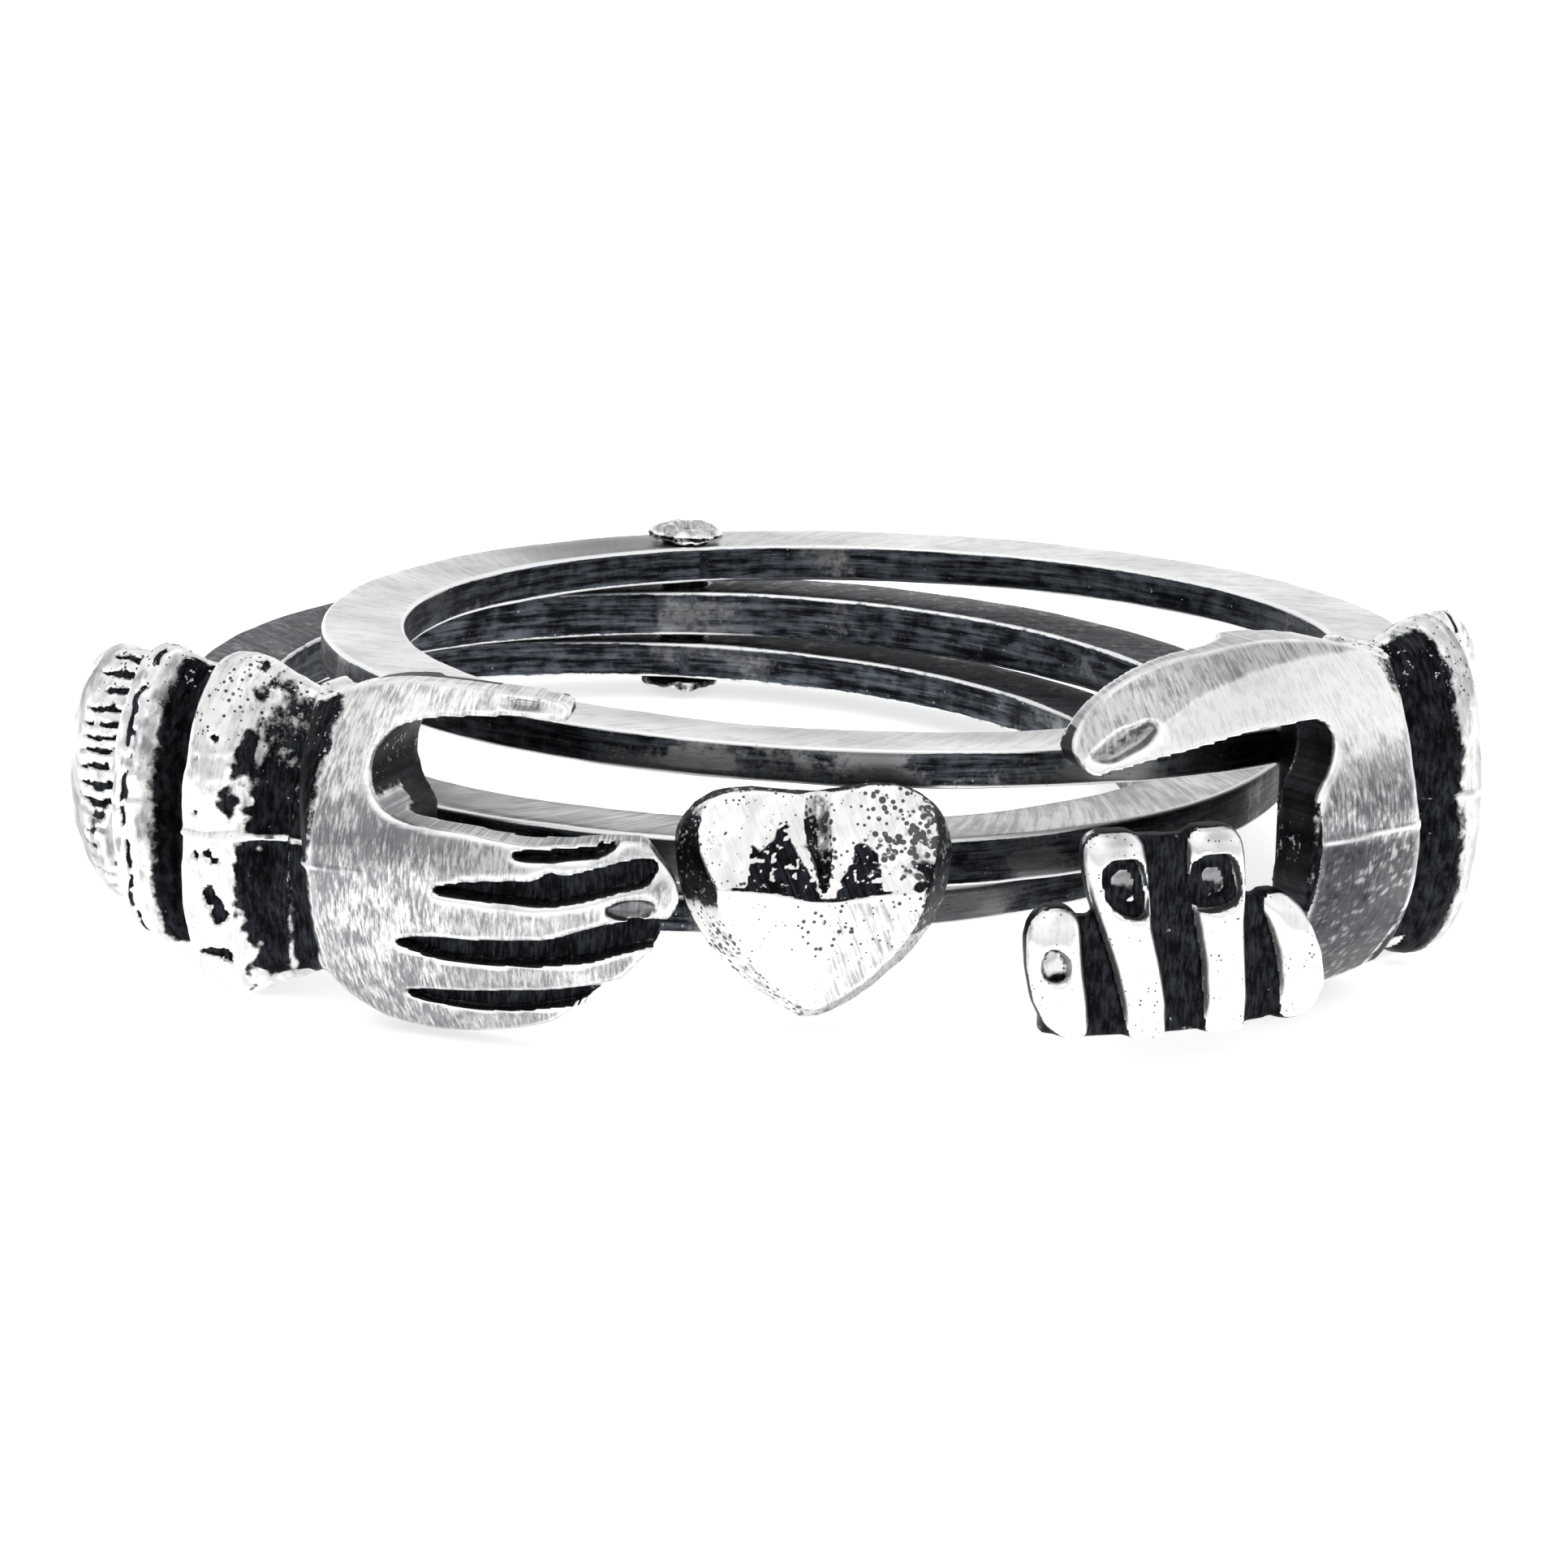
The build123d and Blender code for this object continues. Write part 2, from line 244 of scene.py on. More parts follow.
def prism(name, points, near, far, per_span=6):
    """A filled smooth outline, extruded from one radius to another."""
    line = closed_curve(points, per_span)
    bpy.ops.mesh.primitive_circle_add(vertices=len(line), radius=1, fill_type="NGON",
                                      rotation=(pi / 2, 0, 0))
    obj = fresh(name)
    put_places(obj.data, np.c_[line[:, 0], np.full(len(line), -far), line[:, 1]])
    bpy.ops.object.mode_set(mode="EDIT")
    bpy.ops.mesh.select_all(action="SELECT")
    bpy.ops.mesh.extrude_region_move(TRANSFORM_OT_translate={"value": (0, far - near, 0)})
    bpy.ops.object.mode_set(mode="OBJECT")
    return face_outwards(obj)


def loft(name, rings):
    """A filled ring, extruded from each ring of places to the next."""
    bpy.ops.mesh.primitive_circle_add(vertices=len(rings[0]), radius=1, fill_type="NGON")
    obj = fresh(name)
    put_places(obj.data, rings[0])
    bpy.ops.object.mode_set(mode="EDIT")
    bpy.ops.mesh.select_all(action="SELECT")
    for ring in rings[1:]:
        bpy.ops.mesh.extrude_region_move(TRANSFORM_OT_translate={"value": (0, 0, 0.001)})
        cage = bmesh.from_edit_mesh(obj.data)
        moved = [v for v in cage.verts if v.select]
        for vert, place in zip(moved, ring):
            vert.co = place
        bmesh.update_edit_mesh(obj.data)
    bpy.ops.object.mode_set(mode="OBJECT")
    return face_outwards(obj)


def rounded(count, power):
    """Points of a unit circle that is squared off by a power over two."""
    t = np.arange(count) / count * tau
    c, s = np.cos(t), np.sin(t)
    return np.sign(c) * np.abs(c) ** (2 / power), np.sign(s) * np.abs(s) ** (2 / power)


def ring_across(angle, middle, half, inner, outer, power=2.6, seat=0.42, count=40):
    """A ring across the hoop at an angle: its middle height, half height, inner and outer radius."""
    u, v = rounded(count, power)
    core = inner + seat * (outer - inner)
    radius = core + np.where(u > 0, (outer - core) * u, (core - inner) * u)
    return np.c_[np.full(count, along(angle)), -radius, middle + half * v]


def ring_level(angle, height, half, inner, outer, power=2.6, seat=0.42, count=32):
    """A level ring at a height: its middle angle, half width in millimetres and two radii."""
    u, v = rounded(count, power)
    core = inner + seat * (outer - inner)
    radius = core + np.where(u > 0, (outer - core) * u, (core - inner) * u)
    return np.c_[along(angle) + half * v, -radius, np.full(count, height)]


def trim(obj, tool, how="DIFFERENCE"):
    """Cuts an object with a tool, or keeps only what lies inside it, and throws the tool away."""
    apply_modifier(obj, "BOOLEAN", operation=how, solver="EXACT", object=tool)
    bpy.data.objects.remove(tool, do_unlink=True)
    return obj


def melt_together(name, pieces, voxel, rounds=2):
    """Joins closed pieces and remeshes them into one skin with soft edges, as a casting has."""
    pick(*pieces)
    if len(pieces) > 1:
        bpy.ops.object.join()
    obj = bpy.context.object
    obj.name = obj.data.name = name
    apply_modifier(obj, "REMESH", mode="VOXEL", voxel_size=voxel, adaptivity=0.0)
    apply_modifier(obj, "SMOOTH", factor=0.5, iterations=rounds)
    return obj


def clouds_at(points, size):
    """Slow noise at places, in bumps of about a size in millimetres."""
    return np.array([noise.noise(Vector(p) / size) for p in points])


def push(obj, distance):
    """Moves each vertex along its normal, in millimetres."""
    put_places(obj.data, places(obj.data) + facings(obj.data) * distance[:, None])


print("modelling tools ready")

# %% [markdown]
# The bands
#
# Each hoop is a flat ring with a rectangular section. It could be cut from two cylinders, but the
# outline of a small plane, spun about the finger's axis, gives clean rings of faces. The corners then
# get a narrow bevel, because even a crisp hoop has worn edges that catch the light. A hole for the
# rivet is bored at the back. A little slow noise keeps the flats from looking like machined steel.

# %% Bands
BAND_WIDTH = 1.6
OUTER_BAND_HEIGHT = 0.74
MIDDLE_BAND_HEIGHT = 0.92
BAND_EDGE = 0.09
RIVET_RADIUS = 0.45
RIVET_PLAY = 0.05


def make_band(name, hoop, height):
    """A flat hoop: a plane's outline spun round, with bevelled corners and a hole for the rivet."""
    level = HOOPS[hoop][1]
    bpy.ops.mesh.primitive_plane_add(size=1, location=(PIVOT_RADIUS, 0, level), rotation=(pi / 2, 0, 0))
    obj = fresh(name, (BAND_WIDTH, height, 1))
    bpy.ops.object.mode_set(mode="EDIT")
    bpy.ops.mesh.select_all(action="SELECT")
    bpy.ops.mesh.delete(type="ONLY_FACE")
    bpy.ops.mesh.select_all(action="SELECT")
    bpy.ops.mesh.subdivide(number_cuts=3)
    bpy.ops.mesh.select_all(action="SELECT")
    bpy.ops.mesh.spin(steps=300, angle=tau, center=(0, 0, 0), axis=(0, 0, 1), use_auto_merge=True)
    bpy.ops.object.mode_set(mode="OBJECT")
    face_outwards(obj)
    apply_modifier(obj, "BEVEL", width=BAND_EDGE, segments=3, limit_method="ANGLE",
                   angle_limit=radians(60))
    p, n = places(obj.data), facings(obj.data)
    wave = [noise.noise(Vector(v) * 0.5) * 0.02 + noise.noise(Vector(v) * 1.7) * 0.008 for v in p]
    put_places(obj.data, p + n * np.array(wave)[:, None])
    bpy.ops.mesh.primitive_cylinder_add(vertices=48, radius=RIVET_RADIUS + RIVET_PLAY, depth=3,
                                        location=(0, PIVOT_RADIUS, level))
    trim(obj, fresh("rivet_drill"))
    print(name, len(obj.data.polygons), "faces")
    return obj


upper_band = make_band("upper_band", "right", OUTER_BAND_HEIGHT)
middle_band = make_band("middle_band", "heart", MIDDLE_BAND_HEIGHT)
lower_band = make_band("lower_band", "left", OUTER_BAND_HEIGHT)

# %% [markdown]
# The rivet
#
# The pin is a length of silver wire, hammered over at both ends until it spreads into a rough button.
# A cylinder is the start. Its ends are extruded into the heads, and noise gives them the dents and
# the ragged rim of hammer work.

# %% Rivet
STACK_HALF = 1.35
HEAD_GAP = 0.075
HEAD_HEIGHT = 0.24


def head_rings(side):
    """Rings of one hammered head: height above the middle and radius, from the pin outwards."""
    base = STACK_HALF + HEAD_GAP
    rows = [(base, RIVET_RADIUS), (base, 0.66), (base + 0.07, 0.76), (base + 0.15, 0.72),
            (base + 0.21, 0.54), (base + HEAD_HEIGHT, 0.28), (base + HEAD_HEIGHT + 0.01, 0.1)]
    return [(side * height, radius) for height, radius in rows]


profile = head_rings(-1)[::-1] + head_rings(1)
turn = np.arange(40) / 40 * tau
pin_rings = [np.c_[r * np.cos(turn), PIVOT_RADIUS + r * np.sin(turn), np.full(40, z)]
             for z, r in profile]
rivet_pin = loft("rivet_pin", pin_rings)
apply_modifier(rivet_pin, "REMESH", mode="VOXEL", voxel_size=0.04, adaptivity=0.0)
p, n = places(rivet_pin.data), facings(rivet_pin.data)
far = np.abs(p[:, 2]) > STACK_HALF + HEAD_GAP + 0.03
dents = 0.12 * clouds_at(p, 0.45) + 0.03 * clouds_at(p + 2.0, 0.16)
put_places(rivet_pin.data, p + n * np.where(far, dents, 0)[:, None])
apply_modifier(rivet_pin, "SMOOTH", factor=0.5, iterations=1)
print("rivet", len(rivet_pin.data.polygons), "faces")

# %% [markdown]
# The heart
#
# The heart is cast with a ridge across it: the upper face leans back to the two lobes, the lower face
# runs down to the tip, and its sides lean in. It starts as a filled outline that is extruded. Its
# front is then pressed back to the two faces and the leaning sides, which is a move of the vertices
# in code, and a wedge cuts the cleft. The remesher rounds what a caster's mould would round.

# %% Heart
HEART_BACK = 10.75
HEART_DEPTH = 1.5
STEM_INSIDE = 10.3
heart_outline = [
    (0.0, 1.47), (0.35, 1.53), (1.10, 1.66), (1.75, 1.58), (2.22, 1.26), (2.46, 0.75), (2.52, 0.15),
    (2.36, -0.60), (1.92, -1.32), (1.22, -2.02), (0.52, -2.50), (0.0, -2.66), (-0.45, -2.50),
    (-1.10, -2.02), (-1.80, -1.32), (-2.28, -0.55), (-2.47, 0.25), (-2.40, 0.93), (-2.0, 1.38),
    (-1.30, 1.56), (-0.45, 1.50)]


def flat_points(rows):
    """Points given in millimetres, as the angle that along() turns into the same millimetres."""
    return [(np.degrees(x / UNROLL_RADIUS), z) for x, z in rows]


def edge_distance(points, line):
    """How far each point lies from a closed line."""
    a, b = line, np.roll(line, -1, axis=0)
    best = np.full(len(points), 1e9)
    for start, end in zip(a, b):
        span = end - start
        t = np.clip(((points - start) @ span) / (span @ span), 0, 1)
        best = np.minimum(best, np.hypot(*(points - start - np.outer(t, span)).T))
    return best


def bell(value, middle, width):
    """1 at the middle, falling smoothly to about a third at a width from it."""
    return np.exp(-((value - middle) / width) ** 2)


def heart_ridge(x):
    """Height of the ridge, which sags in the middle."""
    return -0.03 - 0.20 * bell(x, 0.1, 0.9)


def heart_front(x, z, inset):
    """Radius of the heart's front: two leaning faces, a sagging ridge and leaning sides."""
    ridge = heart_ridge(x)
    upper = HEART_BACK + HEART_DEPTH - (z - ridge) * (HEART_DEPTH - 0.34) / (1.62 - ridge)
    lower = HEART_BACK + HEART_DEPTH - (ridge - z) * 0.245
    sides = HEART_BACK + 0.42 + inset * 1.9
    return np.minimum(np.minimum(upper, lower), sides)


heart_line = closed_curve(flat_points(heart_outline))
heart = prism("heart", flat_points(heart_outline), HEART_BACK, HEART_BACK + HEART_DEPTH)
apply_modifier(heart, "REMESH", mode="VOXEL", voxel_size=0.06, adaptivity=0.0)
p = places(heart.data)
inset = edge_distance(p[:, [0, 2]], heart_line)
p[:, 1] = -np.minimum(-p[:, 1], heart_front(p[:, 0], p[:, 2], inset))
put_places(heart.data, p)

CLEFT_STATIONS = [
    # height, middle, half width, depth in front, depth at the sides
    (2.2, 0.0, 1.3, -0.3, 0.9), (1.5, 0.04, 0.80, 0.16, 0.9), (0.7, 0.06, 0.46, 0.62, 1.2),
    (-0.16, 0.12, 0.05, 1.36, 1.6)]
cleft = loft("cleft", [np.array([(x - w, -HEART_BACK - d, z), (x, -HEART_BACK - f, z),
                                 (x + w, -HEART_BACK - d, z), (x, -HEART_BACK - d - 0.6, z)])
                       for z, x, w, f, d in CLEFT_STATIONS])
trim(heart, cleft)
stem_corners = flat_points([(-1.55, -0.40), (1.55, -0.40), (1.55, 0.40), (-1.55, 0.40)])
stem = prism("heart_stem", stem_corners, STEM_INSIDE, HEART_BACK + 0.2, per_span=1)
heart = melt_together("heart", [heart, stem], 0.045)
p = places(heart.data)
push(heart, 0.035 * clouds_at(p, 0.7) + 0.012 * clouds_at(p, 0.25))
print("heart", len(heart.data.polygons), "faces")

# %% [markdown]
# The left hand, back and fingers
#
# The left hand is a thin domed shell, open behind the fingers and solid at the wrist. It could be
# built finger by finger, but the real one is a single dome whose outline gives the fingertips, the
# thumb and the hole between them, so that is the way here: a slab takes the dome's two radii, and a
# prism of the outline keeps what is hand. The outline's points are places on the hand, as an angle
# round the hoop and a height.

# %% Left hand: dome and outline
HAND_HALF = 3.2
DOME_DROP = 1.7
FINGER_RADIUS = 12.65
BACK_RADIUS = 13.4
FOOT_RADIUS = 10.75
FAR_OUT = 15.0


def dome(radius, height):
    """Radius of a domed surface at a height."""
    return radius - DOME_DROP * (height / HAND_HALF) ** 2


def shoulder(distance, width, drop):
    """How far a surface has fallen at a distance past its edge, rounded like a quarter circle."""
    t = np.clip(distance / width, 0, 1)
    return drop * (1 - np.sqrt(1 - t ** 2))


def ease(value, start, end):
    """A smooth step from 0 to 1."""
    t = np.clip((value - start) / (end - start), 0, 1)
    return t * t * (3 - 2 * t)


def left_outer(angle, height):
    """Outside of the left hand: a dome that rounds off at the wrist and at the fingertips."""
    wrist = np.interp(height, [-3.3, -2.66, -2.15, -0.77, 0.0, 1.23, 1.84, 2.6, 3.3],
                      [-19.5, -23.6, -25.0, -25.0, -25.3, -26.5, -27.1, -28.0, -28.5])
    back = dome(BACK_RADIUS, height)
    return back - shoulder(wrist - angle, 2.9, 1.25) - 0.22 * ease(angle, -4.0, 4.5)


def left_inner(angle, height):
    """Inside of the left hand: a shell in front of the heart, and solid at the wrist."""
    shell = dome(FINGER_RADIUS, height)
    step = np.minimum(-21.8 + 1.5 * ((height - 1.87) / 0.75) ** 2, -19.5)
    return np.maximum(FOOT_RADIUS + (shell - FOOT_RADIUS) * ease(angle - step, -0.5, 0.5), FOOT_RADIUS)


left_outline = [
    (-31.5, -2.3), (-28.5, -2.72), (-25.5, -2.88), (-22.5, -3.0), (-20.0, -3.1), (-17.7, -3.14),
    (-14.7, -3.11), (-11.7, -3.0), (-8.8, -2.84), (-6.5, -2.64), (-5.1, -2.41), (-4.4, -2.26),
    (-3.6, -2.17), (-2.4, -1.95), (-0.8, -1.62), (0.2, -1.37), (1.1, -1.13), (2.1, -0.9),
    (2.45, -0.66), (2.55, -0.46), (3.0, -0.34), (3.45, -0.17), (3.65, 0.02), (3.4, 0.26),
    (2.75, 0.5), (1.85, 0.74), (1.2, 0.93), (0.3, 1.0), (-2.3, 0.99), (-4.7, 0.92), (-7.2, 0.87),
    (-9.1, 0.86), (-11.1, 0.9), (-13.4, 0.95), (-16.0, 0.98), (-18.1, 1.02), (-19.7, 1.12),
    (-20.9, 1.3), (-21.8, 1.6), (-22.15, 1.89), (-22.1, 2.11), (-21.5, 2.35), (-20.7, 2.51),
    (-19.2, 2.64), (-17.1, 2.74), (-14.0, 2.81), (-11.3, 2.86), (-8.5, 2.87), (-6.9, 2.83),
    (-6.25, 2.9), (-6.15, 3.02), (-6.7, 3.12), (-7.6, 3.17), (-9.1, 3.19), (-12.1, 3.22),
    (-15.0, 3.24), (-18.0, 3.24), (-21.0, 3.21), (-23.8, 3.13), (-26.4, 2.98), (-29.0, 2.75),
    (-31.5, 2.4)]

left_hand = slab("left_hand", (-31.5, 4.5), (-3.3, 3.4), (90, 50), left_outer, left_inner)
trim(left_hand, prism("left_outline", left_outline, 9.5, FAR_OUT, per_span=4), "INTERSECT")
print("left hand", len(left_hand.data.polygons), "faces")

# %% [markdown]
# Grooves between the fingers
#
# The fingers aren't separate bars: three long leaf-shaped grooves are engraved into the dome, pointed
# at the wrist and open at the fingertips. A thin wedge parts the forefinger's upper side, and shallow
# hollows stand for the nails. Each is a prism that stops at the groove's floor, cut from the shell.

# %% Left hand: engraved grooves
left_grooves = {
    # radius of the floor, outline
    "first_groove": (12.90, [
        (-15.9, -0.14), (-14.2, 0.02), (-11.7, 0.12), (-10.0, 0.17), (-7.6, 0.23), (-6.4, 0.40),
        (-5.2, 0.37), (-3.3, 0.49), (-1.7, 0.6), (-0.3, 0.69), (1.6, 0.70), (1.9, 0.55), (1.5, 0.36),
        (1.0, 0.24), (-0.9, 0.13), (-2.3, 0.03), (-4.4, -0.12), (-6.8, -0.23), (-9.2, -0.23),
        (-11.7, -0.23), (-14.2, -0.2)]),
    "second_groove": (12.66, [
        (-19.0, -1.24), (-17.4, -1.09), (-14.8, -1.02), (-12.5, -1.0), (-10.0, -0.95), (-6.8, -0.88),
        (-4.8, -0.73), (-2.9, -0.57), (-1.0, -0.45), (0.9, -0.37), (3.2, -0.41), (3.2, -0.81),
        (1.0, -0.94), (-1.0, -1.07), (-2.9, -1.23), (-4.9, -1.32), (-6.8, -1.39), (-9.3, -1.44),
        (-11.9, -1.47), (-15.0, -1.46), (-17.2, -1.36)]),
    "third_groove": (12.12, [
        (-19.2, -2.3), (-17.1, -2.19), (-15.0, -2.15), (-12.2, -2.08), (-9.6, -2.0), (-7.0, -1.93),
        (-4.9, -1.84), (-2.9, -1.73), (-0.4, -1.60), (-2.3, -1.97), (-4.0, -2.18), (-6.1, -2.3),
        (-8.2, -2.4), (-10.4, -2.47), (-12.6, -2.51), (-14.8, -2.5), (-16.9, -2.47), (-18.2, -2.40)]),
    "forefinger_wedge": (12.9, [
        (-9.9, 0.70), (-9.0, 0.74), (-7.0, 0.79), (-4.6, 0.86), (-2.3, 0.95), (-0.9, 1.05),
        (-2.2, 0.76), (-4.6, 0.66), (-7.0, 0.58), (-9.0, 0.58)]),
    "middle_nail": (13.10, [
        (-2.0, -0.2), (-0.8, -0.06), (0.8, -0.02), (1.9, -0.12), (1.5, -0.28), (0.0, -0.38),
        (-1.4, -0.36)]),
    "thumb_nail": (11.62, [
        (-12.9, 3.08), (-10.7, 3.13), (-8.4, 3.10), (-7.8, 3.0), (-9.0, 2.98), (-10.9, 2.98),
        (-12.1, 3.0)]),
}
for name, (floor, points) in left_grooves.items():
    trim(left_hand, prism(name, points, floor, FAR_OUT, per_span=4))
print("grooves cut:", ", ".join(left_grooves))

# %% [markdown]
# The cuffs
#
# Each hand comes out of a ruffled cuff: a deep bowl, a flared rim, and two ridges that run down to the
# hoop. Both cuffs are lofted from the same stations, which give the distance past the wrist, the crown
# radius and half the height. The ridges' blackened hatching comes later, from the skin itself.

# %% Cuffs
CUFF_STATIONS = [
    # degrees past the wrist, crown radius, half height
    (1.0, 12.0, 2.42), (2.6, 11.75, 2.46), (5.0, 11.78, 2.58), (7.6, 12.1, 2.80), (9.6, 12.65, 3.02),
    (11.0, 13.0, 3.16), (12.4, 13.1, 3.2), (14.0, 13.08, 3.18), (15.0, 12.85, 3.08),
    (15.8, 12.2, 2.9), (17.0, 11.5, 2.66), (19.6, 11.45, 2.6), (21.0, 11.75, 2.66),
    (22.0, 12.25, 2.76), (22.8, 12.58, 2.84), (23.8, 12.68, 2.86), (25.4, 12.64, 2.78),
    (26.4, 12.4, 2.68), (27.1, 11.95, 2.54), (27.8, 11.9, 2.48), (28.5, 12.2, 2.46),
    (29.4, 12.42, 2.44), (32.0, 12.46, 2.38), (35.0, 12.36, 2.26), (37.5, 12.16, 2.1),
    (40.0, 11.88, 1.9), (42.5, 11.55, 1.58), (44.8, 11.22, 1.18), (47.0, 10.92, 0.65)]
LEFT_WRIST = -25.5
RIGHT_WRIST = 24.0
CUT_STEP = 0.29


def make_cuff(name, wrist, side):
    """A cuff, from the wrist outwards. The right one's ridges hide behind its flare."""
    hidden = 0.6 if side > 0 else 0.0
    rings = []
    for past, crown, half in CUFF_STATIONS:
        lowered = crown - hidden * ease(past, 15, 20) * (1 - ease(past, 38, 47))
        power = np.interp(past, [5, 12, 22, 30], [2.6, 2.25, 2.1, 2.0])
        rings.append(ring_across(wrist + side * past, 0.08 * ease(past, 20, 28), half,
                                 FOOT_RADIUS, lowered, power=power))
    return loft(name, rings)


def make_joint(name, angles, level):
    """The block that ties a hand to its own hoop."""
    half = OUTER_BAND_HEIGHT / 2 - 0.05
    low, high = level - half, level + half
    rows = [(angles[0], low), (angles[1], low), (angles[1], high), (angles[0], high)]
    return prism(name, rows, STEM_INSIDE, FOOT_RADIUS + 0.3, per_span=1)


def chase_cuff(obj, wrist, side):
    """Cuts and raises a cuff's skin; returns how deep and how high each place was worked."""
    p = places(obj.data)
    angle, height = np.degrees(p[:, 0] / UNROLL_RADIUS), p[:, 2]
    past = side * (angle - wrist)
    right = side > 0
    coarse, middling, fine = clouds_at(p, 0.9), clouds_at(p + 7.0, 0.38), clouds_at(p + 3.0, 0.17)

    # Chisel cuts over the last ridge, one for each CUT_STEP of height, weaker towards the bottom
    on_ridge = np.interp(past, [28.0, 28.5, 31.6, 33.4], [0, 1, 1, 0])
    on_ridge = on_ridge * (1 - 0.6 * ease(-height, 0.0, 0.6))
    phase = height / CUT_STEP + 0.6 * coarse + 0.3 * middling
    narrow = 0.2 * (past - 29.0)
    cut = ease(np.cos(tau * phase) - narrow, 0.0, 0.4) * on_ridge * ease(middling, -0.35, -0.2)
    cut = cut * (0.3 if right else 1.0)

    # A broken groove along the middle ridge, and a dull patch low on the last one
    wander = 23.6 + 0.5 * coarse + 0.4 * middling
    seams = bell(past, wander, 0.42) * ease(fine + middling, -0.3, -0.05)
    low_patch = np.interp(height, [-1.6, -1.2, -0.3, -0.1], [0, 1, 1, 0]) * ease(middling, -0.2, 0.1)
    low_patch = low_patch * np.interp(past, [28.2, 28.8, 30.5, 31.5], [0, 1, 1, 0])
    seams = np.maximum(seams, 0.6 * low_patch)

    # Chips in the left flare's lip, and two ribs in the bowl's lower half
    lip = np.interp(past, [9.5, 10.5, 12.5, 13.5], [0, 1, 1, 0])
    chip = lip * ease(middling + 0.3 * fine, 0.33, 0.45) * (0.0 if right else 1.0)
    curve = (height + 1.2) ** 2
    ribs = bell(past, 3.6 + 0.25 * curve, 0.6) + 0.7 * bell(past, 6.4 + 0.2 * curve, 0.55)
    ribs = ribs * (1 - ease(height, -0.5, 0.1))

    # The mould's parting line, at mid height
    starts = -11.0 if right else -5.0
    line = bell(height, 0.05 * coarse, 0.05)
    line *= ease(past, starts, starts + 1.5) * (1 - ease(past, 26, 30))
    line *= np.where(past < 0.5, 0.5 if right else 0.25, 1.0) * (1 - 0.75 * ease(past, 14.0, 15.0))
    line *= 1 - 0.6 * right * ease(past, 0.5, 1.5)
    rough = ease(past, 0.5, 3.0) * (0.05 * coarse + 0.022 * middling + 0.008 * fine)
    push(obj, rough - 0.07 * cut - 0.08 * seams - 0.10 * chip + 0.06 * ribs + 0.06 * line)
    return np.clip(cut + seams + chip, 0, 1), np.clip(0.7 * ribs + line, 0, 1)


left_cuff = make_cuff("left_cuff", LEFT_WRIST, -1)
left_joint = make_joint("left_joint", (-62.0, -23.2), -LEVEL_STEP)
left_ornament = melt_together("left_hand", [left_hand, left_cuff, left_joint], 0.058)
left_cuts = chase_cuff(left_ornament, LEFT_WRIST, -1)
print("left hand in one skin:", len(left_ornament.data.polygons), "faces")

# %% [markdown]
# The right hand
#
# The right hand closes over the left one, so it stands further out. Its palm and its long sweeping
# thumb are one dome again, with a facet line along the thumb. Its four fingers stand upright in front,
# curled, each a loft of level rings that widens to a rounded tip, and a thin web behind them carries
# them down under the palm.

# %% Right hand: palm and thumb
PALM_RADIUS = 13.9
GRIP_RADIUS = 13.55
THUMB_INSIDE = 11.35

thumb_angles = [-7.0, -4.0, -1.0, 2.3, 4.5, 7.4, 10.5, 13.7, 17.1, 22.0]
thumb_facet = [1.25, 1.56, 1.93, 2.29, 2.55, 2.78, 2.94, 3.05, 3.1, 3.1]


def right_outer(angle, height):
    """Outside of the right hand: the dome, tapering along the thumb, its facet and the wrist's edge."""
    taper = np.interp(angle, [-7.0, -5.0, -2.0, 2.0, 8.0, 14.0], [1.35, 1.05, 0.72, 0.42, 0.15, 0.0])
    facet = np.interp(angle, thumb_angles, thumb_facet)
    base = dome(PALM_RADIUS - taper, np.minimum(height, facet))
    base = base - 1.15 * np.maximum(height - facet, 0)
    wrist = np.interp(height, [-3.0, -1.9, -0.8, 0.5, 1.1, 1.9, 2.6, 3.3],
                      [25.5, 24.6, 23.5, 22.8, 22.9, 23.8, 25.0, 27.0])
    return np.maximum(base - shoulder(angle - wrist, 2.9, 1.6), THUMB_INSIDE + 0.35)


def right_inner(angle, height):
    """Inside of the right hand: the palm's shell, the thumb's flat underside and the solid wrist."""
    shell = dome(PALM_RADIUS - 1.15, height)
    thumb = ease(height, 0.9, 1.3) * (1 - ease(angle, 9.0, 12.5))
    inside = shell + (THUMB_INSIDE - shell) * thumb
    return np.maximum(inside + (FOOT_RADIUS - inside) * ease(angle, 20.5, 21.5), FOOT_RADIUS)


right_outline = [
    (30.0, -2.3), (27.0, -2.7), (24.0, -2.95), (21.0, -3.1), (18.0, -3.18), (15.0, -3.2), (12.6, -3.15),
    (11.6, -2.9), (11.6, -2.4), (12.2, -1.9), (13.1, -1.3), (12.7, -0.7), (12.7, -0.1), (13.0, 0.5),
    (13.6, 0.9), (15.0, 1.25), (16.0, 1.6), (16.3, 1.88), (15.4, 2.06), (13.9, 2.08), (10.7, 2.04),
    (7.6, 1.94), (4.7, 1.79), (1.2, 1.62), (-1.0, 1.48), (-3.0, 1.34), (-4.0, 1.27), (-4.8, 1.34),
    (-5.35, 1.54), (-5.3, 1.72), (-4.8, 1.92), (-4.1, 2.13), (-3.0, 2.38), (-1.1, 2.67), (1.5, 2.95),
    (4.3, 3.14), (7.3, 3.24), (10.4, 3.33), (13.6, 3.38), (17.0, 3.34), (20.0, 3.26), (23.0, 3.12),
    (26.0, 2.9), (30.0, 2.5)]

